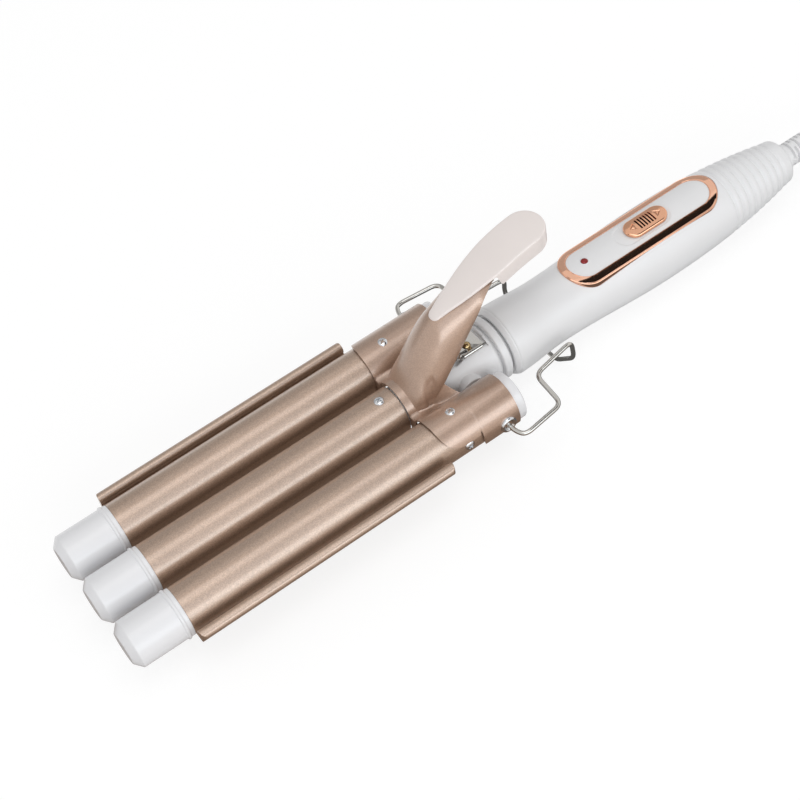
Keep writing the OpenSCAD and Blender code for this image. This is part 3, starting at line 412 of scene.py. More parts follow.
def makePlug(s=plugSet):
    # body: sections |y/a|^n + |z/b|^n = 1 whose a, b and n follow the stations; ribs on the boot
    x0, y0, z0 = s["axis"]
    t = np.asarray(s["stations"], float)
    along = np.unique(np.concatenate([t[:, 0], np.linspace(0.4, 16, 60), np.linspace(16, 49, 34)]))
    a, b, n = (np.interp(along, t[:, 0], t[:, c])[:, None] for c in (1, 2, 3))
    first, last, pitch, deep = s["ribs"]
    rib = deep * np.where((along > first) & (along < last), np.cos(along * 2 * np.pi / pitch) - 1, 0)[:, None] * 0.5
    turn = np.linspace(0, 2 * np.pi, s["sides"], endpoint=False)[None]
    c, d = np.cos(turn), np.sin(turn)
    y = (a + rib) * np.sign(c) * np.abs(c) ** (2 / n)
    z = (b + rib) * np.sign(d) * np.abs(d) ** (2 / n)
    points = np.stack([x0 - np.repeat(along[:, None], s["sides"], 1), y0 + y, z0 + z], -1)
    middle = lambda k: np.repeat([[[x0 - along[k], y0, z0]]], s["sides"], 1)
    points = np.concatenate([middle(0), points, middle(-1)])
    body = makePiece("plugShell", [(points, False, True)], "whiteShell", "plug_body", 40)
    r, end = s["pinR"], x0 - 49 - s["pinLen"]
    line = [[x0 - 48.5, 0], [x0 - 48.5, r], [end + 1.2, r], [end + 0.5, 0.86 * r], [end + 0.1, 0.55 * r], [end, 0]]
    sleeve = [[x0 - 48.6, 0], [x0 - 48.6, r + 0.02], [x0 - 57.5, r + 0.02], [x0 - 57.6, 0]]
    sides = (-0.5 * s["pinGap"], 0.5 * s["pinGap"])
    pins = makePiece("plugPins", [lathe(line, y0 + y, z0, 32) for y in sides], "chromePart", "plug_pins", 40)
    makePiece("plugPinSleeves", [lathe(sleeve, y0 + y, z0, 32) for y in sides], "whiteShell", "plug_body", 40,
              hide=False)
    return body, pins


makeCord(cordSet)
print("cord and plug made")

# strain relief: a tapered sleeve with staggered slits, groove depth times a window round the sleeve
reliefSet = {
    "x": (395.0, 430.3), "radius": 6.6, "taper": 1.4, "taperFrom": 12, "taperLen": 23, "bore": 3.05, "sides": 96,
    "firstSlit": 1.6, "pitch": 2.65, "depth": 1.7, "plainEnd": 5, "round": (0.5, 0.8),
}


def makeRelief(s):
    x0, x1 = s["x"]
    x = np.linspace(x0, x1, 160)[:, None]
    a = np.linspace(0, 2 * np.pi, s["sides"], endpoint=False)[None]
    base = s["radius"] - s["taper"] * np.clip((x - x0 - s["taperFrom"]) / s["taperLen"], 0, 1) ** 1.5
    phase = (x - x0 - s["firstSlit"]) / s["pitch"]
    groove = smoothStep(0.04, 0.12, phase % 1) * (1 - smoothStep(0.46, 0.54, phase % 1))
    groove = groove * (phase > 0) * (x < x1 - s["plainEnd"])
    turn = np.where(np.floor(phase) % 2 > 0, a, a + np.pi / 2)
    window = smoothStep(0.2, 0.34, np.abs(np.sin(turn)))
    fall, within = s["round"]
    r = base - s["depth"] * groove * window - fall * (1 - smoothStep(0, within, x1 - x))
    points = np.stack([np.repeat(x, s["sides"], 1), r * np.sin(a), r * np.cos(a)], -1)
    bore = lathe([[x1, s["bore"]], [x0, s["bore"]]], sides=s["sides"])[0]
    points = np.concatenate([points, bore])
    makePiece("reliefSleeve", [(points, True, True)], "whiteShell", "strain_relief", 40)


makeRelief(reliefSet)

# handle housing: r(x) of a soft front edge, a waist, a belly, ribs and a falling tail; the bezel's hole is cut out
housingSet = {
    "x": (203.8, 395.3), "sides": 192, "wall": 2.0,
    "front": (207.8, 19.2), "waist": (235.4, 17.7), "belly": (303, 20.4), "corner": (389.4, 2.9), "collarR": 7.2,
    "edge": (4, 2.2), "fall": (85.8, 8.1, 2.3), "parting": (206.2, 0.28, 0.25),
    "ribX": 347.5, "ribs": 8, "ribPitch": 4.6, "ribDepth": 1.15,
    "bezelX": 296.25, "bezelLen": 96.5, "bezelW": 27.0, "bezelGap": 0.24, "cutZ": (12.0, 26.0),
}


def housingRadius(x, s=housingSet):
    # half waves from front to waist to belly, then a power curve, a quarter ellipse, rib dips and a parting line
    (frontX, frontR), (waistX, waistR), (bellyX, bellyR) = s["front"], s["waist"], s["belly"]
    r = np.where(x < waistX, frontR + (waistR - frontR) * wave(frontX, waistX, x),
                 waistR + (bellyR - waistR) * wave(waistX, bellyX, x))
    long, deep = s["edge"]
    r = np.where(x < frontX, frontR - deep * np.clip((frontX - x) / long, 0, 1) ** 2, r)
    long, deep, power = s["fall"]
    r = np.where(x > bellyX, bellyR - deep * np.clip((x - bellyX) / long, 0, 1) ** power, r)
    cornerX, long = s["corner"]
    end = np.sqrt(np.maximum(1 - np.clip((x - cornerX) / long, 0, 1) ** 2, 0))
    r = np.where(x > cornerX, s["collarR"] + (r - s["collarR"]) * end, r)
    phase = (x - s["ribX"]) / s["ribPitch"]
    dip = np.exp(-((phase - np.round(phase)) / 0.2) ** 2) * (phase > -0.5) * (phase < s["ribs"] + 0.4)
    at, wide, deep = s["parting"]
    return r - s["ribDepth"] * dip - deep * np.exp(-((x - at) / wide) ** 2)


def stadiumLoop(length, width, count=40, straight=24):
    # points and outward directions round a flat outline: half circles (r cos a, r sin a) joined by straight runs
    r, half = width / 2, (length - width) / 2
    a = np.linspace(-np.pi / 2, np.pi / 2, count)
    end = np.stack([half + r * np.cos(a), r * np.sin(a)], -1)
    out = np.stack([np.cos(a), np.sin(a)], -1)
    run = np.linspace(half, -half, straight + 2)[1:-1]
    top = np.stack([run, np.full(straight, r)], -1)
    up = np.repeat([[0.0, 1.0]], straight, 0)
    loop = np.concatenate([end, top, -end, -top])
    return loop, np.concatenate([out, up, -out, -up])


def makeHousing(s):
    x0, x1 = s["x"]
    x = np.unique(np.concatenate([np.linspace(x0, 209, 26), np.linspace(209, 344, 110), np.linspace(344, x1, 150)]))
    outer = np.stack([x, housingRadius(x)], -1)
    back = np.linspace(x1 - 1.5, x0, 40)
    inner = np.maximum(housingRadius(np.clip(back, 212, 384)) - s["wall"] - 0.7, 6.6)
    inner = np.where(back > 386, 6.45, inner)
    inner = np.where(back < 216, 15.2, inner)
    profile = np.concatenate([outer, np.stack([back, inner], -1)])
    loop = stadiumLoop(s["bezelLen"] + s["bezelGap"], s["bezelW"] + s["bezelGap"])[0] + [s["bezelX"], 0]
    level = lambda flat, z: np.concatenate([flat, np.full((len(loop), 1), z)], 1)
    middle = np.repeat([[s["bezelX"], 0.0]], len(loop), 0)
    low, high = s["cutZ"]
    prism = np.stack([level(middle, low), level(loop, low), level(loop, high), level(middle, high)])
    cutter = addObject("cutter", gridMesh("cutter", [(prism, False, True)]))
    makePiece("handleShell", [lathe(profile, sides=s["sides"], closed=True)], "whiteShell", "handle_housing", 30,
              cut=cutter)
    bpy.data.objects.remove(cutter)


makeHousing(housingSet)
print("housing made")

# bezel, panel, lens and slider
controlSet = {
    "centre": 296.25, "length": 96.5, "width": 27.0, "band": 4.2, "crown": (-9.9, 28.5),
    "panelDrop": 0.25, "panelDeep": 1.6, "bed": (2.5, 10.0, 7.0, 0.35),
    "ledX": 261.6, "ledR": 1.9, "ledHigh": 0.7, "ledDeep": 1.2,
    "sliderX": 300.85, "sliderLen": 25.6, "sliderW": 11.6, "sliderH": 1.75, "sliderDrop": 0.2, "rim": 0.9,
    "groovePitch": 1.75, "grooveHalf": (3.1, 3.4), "grooveDeep": 1.15, "arrow": (6.6, 3.0, 2.1), "arrowDeep": 0.4,
}


def crownZ(y, s=controlSet):
    # height of the handle's top face: a circle's arc over its centre, centre + sqrt(r² - y²)
    centre, r = s["crown"]
    return centre + np.sqrt(r ** 2 - y ** 2)


def makeBezel(s):
    # section (inset from the outline, height over the crown) carried round the outline
    u = np.linspace(0, 1, 9)
    bandRow = np.stack([0.6 + 2.96 * u, 0.08 + 0.03 * 4 * u * (1 - u)], -1)
    section = np.concatenate([
        [[0, -3.2], [0, -0.3], [0.06, -0.06], [0.2, 0.06], [0.36, 0.08], [0.46, 0.0], [0.54, 0.0]],
        bandRow, [[3.64, 0.02], [3.7, 0.02], [3.82, 0.14], [3.98, 0.14], [4.1, 0.06], [4.16, -0.1],
                  [4.2, -0.4], [4.2, -3.2]]])
    loop, out = stadiumLoop(s["length"], s["width"])
    xy = loop[None] - out[None] * section[:, None, :1]
    z = crownZ(xy[..., 1]) + section[:, None, 1]
    points = np.concatenate([xy + [s["centre"], 0], z[..., None]], -1)
    makePiece("bezelBand", [(points, True, True)], "roseGold", "bezel", 38)


def makePanel(s):
    # crown less the drop, with a shallow bed under the slider's travel
    inset = 2 * s["band"] + 0.1
    x, y = roundedGrid(s["length"] - inset, s["width"] - inset, 24, 150, np.linspace(-1, 1, 61))
    back, half, wide, deep = s["bed"]
    away = np.hypot(np.maximum(np.abs(x - (s["sliderX"] - s["centre"] - back)) - half, 0), y) - wide
    z = crownZ(y) - s["panelDrop"] - deep * (1 - smoothStep(-0.7, 0.3, away))
    top = np.stack([x + s["centre"], y, z], -1)
    makePiece("controlPanel", slab(top, crownZ(y) - s["panelDeep"]), "whiteShell", "switch_panel", 40)


def makeLens(s):
    # a quarter ellipse turned about its own axis, in a thin seat
    a = np.linspace(0, np.pi / 2, 8)
    r = s["ledR"]
    dome = np.stack([r * np.sin(a), s["ledHigh"] * np.cos(a)], -1)
    line = np.concatenate([dome, [[r, -s["ledDeep"]], [0, -s["ledDeep"]]]])
    turn = np.linspace(0, 2 * np.pi, 40, endpoint=False)
    z0 = crownZ(0) - 0.3
    spin = lambda p: np.stack([s["ledX"] + p[:, :1] * np.cos(turn), p[:, :1] * np.sin(turn),
                               z0 + np.repeat(p[:, 1:], 40, 1)], -1)
    makePiece("ledLens", [(spin(line), False, True)], "redLens", "led_lens", 40)
    seat = np.array([[0.02, -0.2], [0.02, 0.14], [0.12, 0.2], [0.24, 0.12], [0.28, -0.2]]) + [r, 0]
    makePiece("ledSeat", [(spin(seat), True, True)], "whiteShell", "switch_panel", 40, hide=False)


def markDepth(button, s):
    # painted shade in the grooves and arrow marks: an attribute from 0 to 1, growing with how far a point of the
    # top lies below the button's own face
    mesh = button.data
    place = np.empty(len(mesh.vertices) * 3)
    mesh.vertices.foreach_get("co", place)
    place = place.reshape(-1, 3) * 1000 - toPart
    below = crownZ(np.clip(place[:, 1], -13, 13)) - s["sliderDrop"] + s["sliderH"] - place[:, 2]
    inside = (np.abs(place[:, 1]) < 3.6) & (np.abs(place[:, 0] - s["sliderX"]) < 10.5)
    paintedShade = mesh.attributes.new("paintedShade", "FLOAT", "POINT")
    paintedShade.data.foreach_set("value", np.where(inside, smoothStep(0.1, 0.75, below), 0.0))


def makeSlider(s):
    # top: crown + height - rounded rim - six cross grooves - an engraved arrow at each end
    r, half = s["sliderW"] / 2, (s["sliderLen"] - s["sliderW"]) / 2
    x, y = roundedGrid(s["sliderLen"], s["sliderW"], 40, 120, np.sin(np.linspace(-1, 1, 91) * np.pi / 2))
    inset = r - np.hypot(np.maximum(np.abs(x) - half, 0), y)
    rim = np.clip(1 - inset / s["rim"], 0, 1)
    top = s["sliderH"] - s["rim"] * (1 - np.sqrt(np.maximum(1 - rim ** 2, 0)))
    k = np.clip(np.round(x / s["groovePitch"] - 0.5) + 0.5, -2.5, 2.5)
    off = np.abs(x - k * s["groovePitch"])
    groove = (1 - smoothStep(0.26, 0.44, off)) * (1 - smoothStep(*s["grooveHalf"], np.abs(y)))
    at, long, wide = s["arrow"]
    reach = np.abs(x) - at
    arrow = np.maximum(np.abs(y) / wide + reach / long - 1, -reach / long) * 1.5
    mark = (1 - smoothStep(0.14, 0.3, np.abs(arrow + 0.16))) * (reach > -0.8)
    base = crownZ(y) - s["sliderDrop"]
    z = base + top - s["grooveDeep"] * groove - s["arrowDeep"] * mark
    face = np.stack([x + s["sliderX"], y, z], -1)
    button = makePiece("slideButton", slab(face, base), "roseGroove", "switch_slider", 40)
    # painted shade for the grooves and arrow marks, read by the roseGroove finish
    markDepth(button, s)


for build in (makeBezel, makePanel, makeLens, makeSlider):
    build(controlSet)
print("controls made")

# barrels, tip caps, rear caps and collar: profiles (x, radius) turned about the barrels' axes
barrelSet = {
    "pitch": 29.8, "r": 12.5, "bore": 11.2, "middleEnd": 142.6, "outerEnd": 185.8,
    "nose": [[-31, 0], [-31, 8.25], [-27.35, 12.42], [-4.0, 12.5]],
    "bead": [[-4.0, 12.5], [-3.5, 13.2], [-2.6, 13.2], [-2.0, 12.6], [-0.15, 12.55], [0, 12.4], [0, 11.1], [8, 11.1],
             [8, 9.3], [-25.3, 9.3], [-25.3, 0]],
    "rear": [[149.6, 7.5], [149.6, 11.1], [185.8, 11.1], [185.8, 12.8], [190.6, 12.8], [191.5, 10.9], [191.5, 0],
             [189.5, 0], [189.5, 7.5]],
    "collar": [[197.8, 14.8], [197.8, 16.7], [198.4, 17.4], [201.6, 17.5], [202.3, 16.7], [202.4, 14.8]],
}


def makeTurned(s):
    tip = np.concatenate([softLine(s["nose"], 0.45, 5), softLine(s["bead"], 0.18, 3)])
    rear = softLine(s["rear"], 0.5, 4)
    for name, side in {"left": 1, "middle": 0, "right": -1}.items():
        y = side * s["pitch"]
        end = s["outerEnd"] if side else s["middleEnd"]
        tube = [[0.05, s["r"]], [end, s["r"]], [end, s["bore"]], [0.05, s["bore"]]]
        makePiece(name + "Tube", [lathe(tube, y, closed=True)], "barrelCoat", name + "_barrel")
        makePiece(name + "TipCap", [lathe(tip, y)], "capShell", name + "_tip_cap")
        if side:
            makePiece(name + "RearCap", [lathe(rear, y, closed=True)], "capShell", name + "_rear_cap", 36)
    makePiece("collarBand", [lathe(softLine(s["collar"], 0.5, 4), closed=True)], "whiteShell", "collar_ring")


makeTurned(barrelSet)

# side rails: a round bead on a bent strip, with a fine line along it and its outer edge rounded at both ends
railSet = {
    "end": 142.6, "inner": 41.0, "low": -3.8, "wall": 1.6, "corner": 2.6, "bead": (48.55, 2.35), "r": 2.85,
    "arc": (-132, 128), "line": (-34.0, 0.16, 6.0),
}


def makeRail(side, s=railSet):
    # bead: a circle less a groove at one angle, from the strip's lower face over the top to its upper face
    cy, cz = s["bead"]
    a = np.radians(np.linspace(*s["arc"], 66))[::-1]
    at, deep, wide = s["line"]
    r = s["r"] - deep * np.exp(-((np.degrees(a) + at) / wide) ** 2)
    bead = np.stack([cy + r * np.sin(a), cz + r * np.cos(a)], -1)
    upper = s["low"] + s["wall"]
    under = softLine([[s["inner"], s["low"]], [cy - 0.1, s["low"]], bead[0] - [0.3, 0.0]], 2.2, 5)
    over = softLine([bead[-1] - [0.2, 0.4], [cy - 2.4, upper], [s["inner"] + 0.6, upper]], 1.2, 4)
    section = np.concatenate([under, bead, over])
    near, far = s["corner"], s["end"] - s["corner"]
    x = np.unique(np.concatenate([np.linspace(0, near, 10), np.linspace(near, far, 8),
                                  np.linspace(far, s["end"], 10)]))
    gap = s["corner"] - np.minimum(np.minimum(x, s["end"] - x), s["corner"])
    edge = cy + s["r"] - s["corner"] + np.sqrt(np.maximum(s["corner"] ** 2 - gap ** 2, 0))
    y = np.minimum(section[None, :, 0], edge[:, None])
    points = np.stack([np.repeat(x[:, None], len(section), 1), y, np.repeat(section[None, :, 1], len(x), 0)], -1)
    # both ends are closed against the wall's own middle line
    half = len(section) // 2
    cap = lambda row: np.stack([row[:half], row[::-1][:half]], 1)
    grids = [(points, False, True), (cap(points[0]), False, False), (cap(points[-1]), False, False)]
    return grids if side > 0 else [mirrored(g) for g in grids]


for side, name in ((1, "left"), (-1, "right")):
    makePiece(name + "Rail", makeRail(side), "barrelCoat", name + "_side_rail", 36)
print("barrels, caps and rails made")

# lever plate: an arch that rises to the lever, a valley, and a wing round each outer barrel
plateSet = {
    "start": 142.9, "rise": 147.2, "run": 55.5, "height": 46.0, "crown": 13.65, "foot": 6.2, "free": 164.0,
    "startHalf": 12.16, "wingR": 13.35, "pitch": 29.8, "end": 185.8, "tip": 202.7, "tipHalf": 9.75, "footZ": 15.35,
    "sheet": 0.8, "fuller": 0.12, "wingTail": 5.5, "webLow": -4.0, "rows": 90, "cols": 73, "wingCols": 49,
    "table": [[0, 0], [0.09, 0.19], [0.2, 0.4], [0.31, 0.56], [0.43, 0.7], [0.71, 0.84], [1, 1]],
}
dartSet = {
    "place": (156.4, 12.45, 14.8), "along": (0.6185, -0.5278, 0.5821), "across": (0.7398, 0.6407, -0.2051),
    "out": (-0.2, 0.96, 0.2), "half": (8.6, 4.6), "depth": 0.5,
}


def leverCrown(x, s=plateSet):
    # height of the ridge: the crown, then the table's curve times the lever's height
    return s["crown"] + s["height"] * alongTable(np.clip((x - s["rise"]) / s["run"], 0, 1), s["table"])


def leverHalf(x, s=plateSet):
    # half width: half a wave up to the wing's radius, then a straight taper to the tip
    rise = s["startHalf"] + (s["wingR"] - s["startHalf"]) * wave(0, 1, np.clip((x - s["rise"]) / 6, 0, 1))
    fall = s["wingR"] + (s["tipHalf"] - s["wingR"]) * np.clip((x - s["free"]) / (s["tip"] - s["free"]), 0, 1)
    return np.where(x < s["free"], rise, fall)


def leverFoot(x, s=plateSet):
    # height of the arch's feet: level, then a straight line that meets the ridge at the tip
    slope = (s["crown"] + s["height"] - s["footZ"]) / (s["tip"] - s["free"])
    return np.maximum(s["foot"], s["footZ"] + (x - s["free"]) * slope)


def leverPower(x, s=plateSet):
    # 1 is an ellipse, and less is a fuller arch towards the tip
    return 1 - s["fuller"] * smoothStep(s["rise"] + 8, s["tip"], x)


def leverArch(x, v):
    # low arch: part of a circle through both feet; tall arch: y = w sin(a)^p, z = foot + h cos(a)^p, a = 90v degrees
    w, foot, p = leverHalf(x), leverFoot(x), leverPower(x)
    h = leverCrown(x) - foot  # open fault: 0 in the last row, and dividing by it leaves that row without numbers
    a = v * np.pi / 2
    tall = np.sign(a) * w * np.abs(np.sin(a)) ** p, foot + h * np.abs(np.cos(a)) ** p
    r = (w * w + h * h) / (2 * h)
    b = v * np.arcsin(np.clip(w / r, 0, 1))
    low = r * np.sin(b), leverCrown(x) - r + r * np.cos(b)
    blend = smoothStep(0.55, 1.0, h / w)
    return low[0] + (tall[0] - low[0]) * blend, low[1] + (tall[1] - low[1]) * blend


def leverTopAt(x, y):
    # height of the tall arch's outside over the point (x, y)
    p, foot = leverPower(x), leverFoot(x)
    a = np.arcsin(np.clip(np.abs(y) / leverHalf(x), 0, 1) ** (1 / p))
    return foot + (leverCrown(x) - foot) * np.cos(a) ** p


def dartPush(points, s=dartSet):
    # an almond pressed into the fold: the depth rises where |q| < 1 - p², p and q being its length and width
    d = points - np.array(s["place"])
    p, q = (d @ np.array(s[way]) / half for way, half in zip(("along", "across"), s["half"]))
    keep = np.maximum(1 - p * p - np.abs(q), 0) * (np.abs(p) < 1)
    return points - (s["depth"] * smoothStep(0, 0.7, keep))[..., None] * np.array(s["out"])


def makePlate(s):
    rows, cols, wingCols = s["rows"], s["cols"], s["wingCols"]
    wingFree = s["free"] + s["wingTail"]
    t = np.linspace(0, 1, rows)[:, None] ** 1.25
    xFoot = s["start"] + (s["free"] - s["start"]) * t
    xWing = s["start"] + (wingFree - s["start"]) * t
    # lever
    x = np.concatenate([xFoot, np.linspace(s["free"], s["tip"], 70)[1:, None]])
    y, z = leverArch(x, np.linspace(-1, 1, cols)[None])
    lever = np.stack([np.repeat(x, cols, 1), y, z], -1)
    foot = lever[:rows, -1]
    # wing: angle from the top, negative towards the valley, with its outer edge cut round the barrel's screw
    zInner = 6.6 + 1.9 * smoothStep(0.62, 1, t)
    inner = -np.arccos(zInner / s["wingR"])
    zEdge = 15.3 - np.sqrt(np.maximum(11.2 ** 2 - np.minimum(xWing - 154.3, 0) ** 2, 0))
    outer = np.arccos(np.clip(zEdge / s["wingR"], -1, 1))
    outer += np.radians(38) * smoothStep(164.3, 165.0, xWing) - np.radians(9) * np.exp(-((xWing - 163.9) / 0.5) ** 2)
    xBack = np.linspace(wingFree, s["end"], 34)[1:, None]
    innerBack = np.full_like(xBack, inner[-1, 0]) - np.radians(50) * smoothStep(169.5, 172.5, xBack)
    outerBack = np.full_like(xBack, np.radians(110))
    xAll = np.concatenate([xWing, xBack])
    u = np.linspace(0, 1, wingCols)[None]
    a = np.concatenate([inner, innerBack]) * (1 - u) + np.concatenate([outer, outerBack]) * u
    wing = np.stack([np.repeat(xAll, wingCols, 1), s["pitch"] + s["wingR"] * np.sin(a), s["wingR"] * np.cos(a)], -1)
    # valley: a cubic from the lever's foot to the wing, leaving both along their own walls
    rim = wing[:rows, 0]
    tangent = np.stack([0 * inner, -np.cos(inner), np.sin(inner)], -1)[:, 0]
    lead = np.where(xFoot[:, 0] < s["rise"], 0, 1)
    down = np.stack([np.full(rows, 0.25), 0.75 * (1 - 0.6 * lead), np.full(rows, -0.9)], -1)
    w = np.linspace(0, 1, 15)[None, :, None]
    p0, p3 = foot[:, None], rim[:, None]
    p1, p2 = p0 + 1.7 * down[:, None], p3 + 1.7 * tangent[:, None]
    valley = (1 - w) ** 3 * p0 + 3 * w * (1 - w) ** 2 * p1 + 3 * w * w * (1 - w) * p2 + w ** 3 * p3
    # web: the valley's front edge turned down between the barrels, from the lever's foot to the outer barrel
    front = valley[0]
    share = (front[:, 1:2] - front[0, 1]) / (front[-1, 1] - front[0, 1])
    drop = np.linspace(0, 1, 8)[None]
    zWeb = front[:, 2:] + (s["webLow"] - front[:, 2:]) * drop
    yWeb = 12.4 + (s["pitch"] - np.sqrt(12.85 ** 2 - zWeb ** 2) - 12.4) * share
    yWeb = front[:, 1:2] + (yWeb - front[:, 1:2]) * np.minimum(drop * 7, 1)
    web = np.stack([np.full_like(zWeb, s["start"]), yWeb, zWeb], -1)
    # the dart presses each half of the lever and its valley
    half = [dartPush(lever[:, cols // 2:]), dartPush(valley), wing, web]
    grids = [(g, False, False) for g in half]
    grids += [mirrored(g) for g in grids]
    makePiece("leverPlate", grids, "plateCoat", "lever_plate", 42, thick=s["sheet"])


makePlate(plateSet)
print("lever plate made")

# thumb cover: a plan outline shrunk towards its spine for the top, then rolled over an edge into the skirt
coverSet = {
    "x": (170.0, 238.5), "half": 11.0, "nose": 3.7, "edge": 0.9, "wall": 1.3, "over": 1.5, "rise": 7.8,
    "fall": 0.35, "rim": 1.2, "skirt": 9.5, "skirtX": (203.0, 206.5), "gap": 0.12, "lift": (174, 30, 0.8),
    "plan": [[0.05, 0.336], [0.3, 0.745], [0.5, 0.955], [0.66, 1], [1, 1]],
}


def coverTop(x, s=coverSet):
    # height of the top: over the lever's ridge, a parabola that levels off behind its tip, and half a sine in front
    tip = plateSet["tip"]
    back = np.clip((x - tip) / (s["x"][1] - tip), 0, 1)
    at, long, high = s["lift"]
    lift = high * np.sin(np.pi * np.clip((x - at) / long, 0, 1))
    return s["over"] + leverCrown(np.minimum(x, tip)) + s["rise"] * (1 - (1 - back) ** 2) + lift


def makeCover(s):
    x0, x1 = s["x"]
    a = np.linspace(0, np.pi / 2, 12)
    front = np.stack([x0 + s["nose"] * (1 - np.cos(a)), s["nose"] * np.sin(a)], -1)
    middle = np.linspace(x0 + s["nose"], x1 - s["half"], 60)[1:-1]
    side = np.stack([middle, s["half"] * alongTable((middle - x0) / (x1 - x0), s["plan"])], -1)
    a = np.linspace(0, np.pi / 2, 22)
    rear = np.stack([x1 - s["half"] + s["half"] * np.sin(a), s["half"] * np.cos(a)], -1)
    half = np.concatenate([front, side, rear])
    loop = np.concatenate([half, (half * [1, -1])[::-1][1:-1]])
    rimX, rimY = loop.T
    spine = np.stack([np.clip(rimX, x0 + s["nose"], x1 - s["half"]), 0 * rimX], -1)
    away = loop - spine
    long = np.linalg.norm(away, axis=1)[None]
    edge = s["edge"]
    roll = np.linspace(0, np.pi / 2, 7)[1:]
    reach = np.concatenate([np.linspace(0, 1, 9)[:, None] * (long - edge), long - edge + edge * np.sin(roll)[:, None],
                            np.repeat(long, 4, 0)])
    spot = spine[None] + away[None] * (reach / long)[..., None]
    top = coverTop(spot[..., 0]) - s["fall"] * (reach / long) ** 2
    # the skirt's lower edge: a short rim over the lever, clear of the arch, and the full skirt behind its tip
    brim = coverTop(rimX) - s["fall"]
    lowest = brim - s["rim"] - (s["skirt"] - s["rim"]) * smoothStep(*s["skirtX"], rimX)
    lowest = np.where(rimX < s["skirtX"][0], np.maximum(lowest, leverTopAt(rimX, rimY) + s["gap"]), lowest)
    depth = (brim - lowest)[None]
    turned = np.minimum(edge, 0.8 * depth)
    drop = np.concatenate([np.zeros((9, len(loop))), turned * (1 - np.cos(roll))[:, None],
                           turned + (depth - turned) * np.array([0.3, 0.6, 0.85, 1])[:, None]])
    points = np.concatenate([spot, (top - drop)[..., None]], -1)
    makePiece("thumbCover", [(points, False, True)], "thumbShell", "thumb_cover", 50, thick=s["wall"])


makeCover(coverSet)

# screws: a domed head with a cross recess, height dome(r) - recess(x, y)
screwSet = {"r": 2.6, "height": 1.25, "recess": 0.9, "turned": 0.6, "base": -0.6, "spots": {
    "middleBarrelScrew": ("middle_barrel_screw", [(134.6, 0.0, 12.5, 0.0)]),
    "wingScrews": ("wing_screws", [(156.6, 29.8, 13.35, -6.0), (156.6, 29.8, 12.5, 84.5),
                                   (156.6, -29.8, 13.35, 6.0), (156.6, -29.8, 12.5, -84.5)]),
}}


def makeScrews(s):
    r = np.linspace(0, 1, 22)[:, None] ** 0.8
    a = np.linspace(0, 2 * np.pi, 72, endpoint=False)[None]
    px, py = s["r"] * r * np.cos(a), s["r"] * r * np.sin(a)
    dome = s["height"] * np.sqrt(np.maximum(1 - (0.94 * r) ** 2.6, 0)) + 0.05
    slot = lambda along, over: (1 - smoothStep(1.25, 1.5, np.abs(along))) * (1 - smoothStep(0.2, 0.38, np.abs(over)))
    c, d = math.cos(s["turned"]), math.sin(s["turned"])
    qx, qy = c * px + d * py, -d * px + c * py
    top = np.stack([px, py, dome - s["recess"] * np.maximum(slot(qx, qy), slot(qy, qx))], -1)
    edge = np.stack([px[-1], py[-1], np.full(72, s["base"])], -1)[None]
    head = np.concatenate([top, edge, np.zeros_like(edge) + [0, 0, s["base"]]])
    for name, (node, spots) in s["spots"].items():
        grids = []
        for x, y, reach, tilt in spots:
            n = math.radians(tilt)
            across = np.array([0, math.cos(n), -math.sin(n)])
            up = np.array([0, math.sin(n), math.cos(n)])
            place = np.array([x, y, 0]) + reach * up
            grids.append((place + head[..., :1] * np.array([1, 0, 0]) + head[..., 1:2] * across + head[..., 2:] * up,
                          False, True))
        makePiece(name, grids, "chromePart", node, 40)


makeScrews(screwSet)

# stand cups and the neck's round pads: outlines (distance from the middle plane, radius) turned about the pivot line
pivotSet = {
    "x": 178.5, "pitch": 29.8,
    "cup": [[12.2, 1.3], [12.2, 4.6], [14.4, 4.6], [15.1, 4.2], [15.3, 3.6], [15.0, 3.0], [14.2, 2.3], [13.9, 1.3]],
    "pad": [[8.0, 7.0], [15.4, 7.0], [15.85, 6.9], [16.0, 6.4], [16.0, 2.4], [8.0, 2.4]],
}


def aboutPivot(line, side, sides, s=pivotSet):
    # ring k is the circle (x + r cos a, side times its distance, r sin a)
    a = np.linspace(0, 2 * np.pi, sides, endpoint=False)[None]
    return np.stack([s["x"] + line[:, 1:] * np.cos(a), side * np.repeat(line[:, :1], sides, 1),
                     line[:, 1:] * np.sin(a)], -1), True, True


def makeCupsAndPads(s):
    cup = softLoop(s["cup"], 0.35, 3) + [s["pitch"], 0]
    pad = softLoop(s["pad"], 0.4, 3)
    for side, name in ((1, "left"), (-1, "right")):
        makePiece(name + "StandCup", [aboutPivot(cup, side, 56)], "chromePart", name + "_stand_cup", 40)
    makePiece("pivotPads", [aboutPivot(pad, side, 96) for side in (1, -1)], "whiteShell", "neck", 40, hide=False)


makeCupsAndPads(pivotSet)

# wire stand: one wire with round bends
wireSet = {
    "r": 1.2, "bend": 4.6,
    "half": [(178.5, 42.6, 0), (178.5, 48.65, 0), (181.1, 54.15, 0), (205.2, 51.15, 0.6), (205.6, 30.6, 3),
             (230.6, 27.2, 5.5), (230.6, 28.6, -6.4), (229.5, 14, -20.65)],
}


def makeWire(s):
    # the half route and its mirror image, with each corner rounded
    half = np.array(s["half"], float)
    route = np.concatenate([half, (half * [1, -1, 1])[::-1]])
    makePiece("wireStand", [sweep(softLine(route, s["bend"], 7), ring(s["r"], 24))], "nickelWire",
              "wire_stand")


makeWire(wireSet)

# torsion spring: a close coil about the arbor with a leg to the bracket and a leg up to the lever
springSet = {
    "x": 176.3, "z": 15.9, "r": 2.4, "wire": 0.48, "turns": 7, "pitch": 1.05,
    # a leg's points: x, y beyond the coil's end, z above the coil's middle
    "leg": [(184.5, -0.4, -1.0), (179.6, -0.3, -1.2)], "rise": [(176.0, 0.5, 3.4), (171.4, 0.6, 12.0)],
}


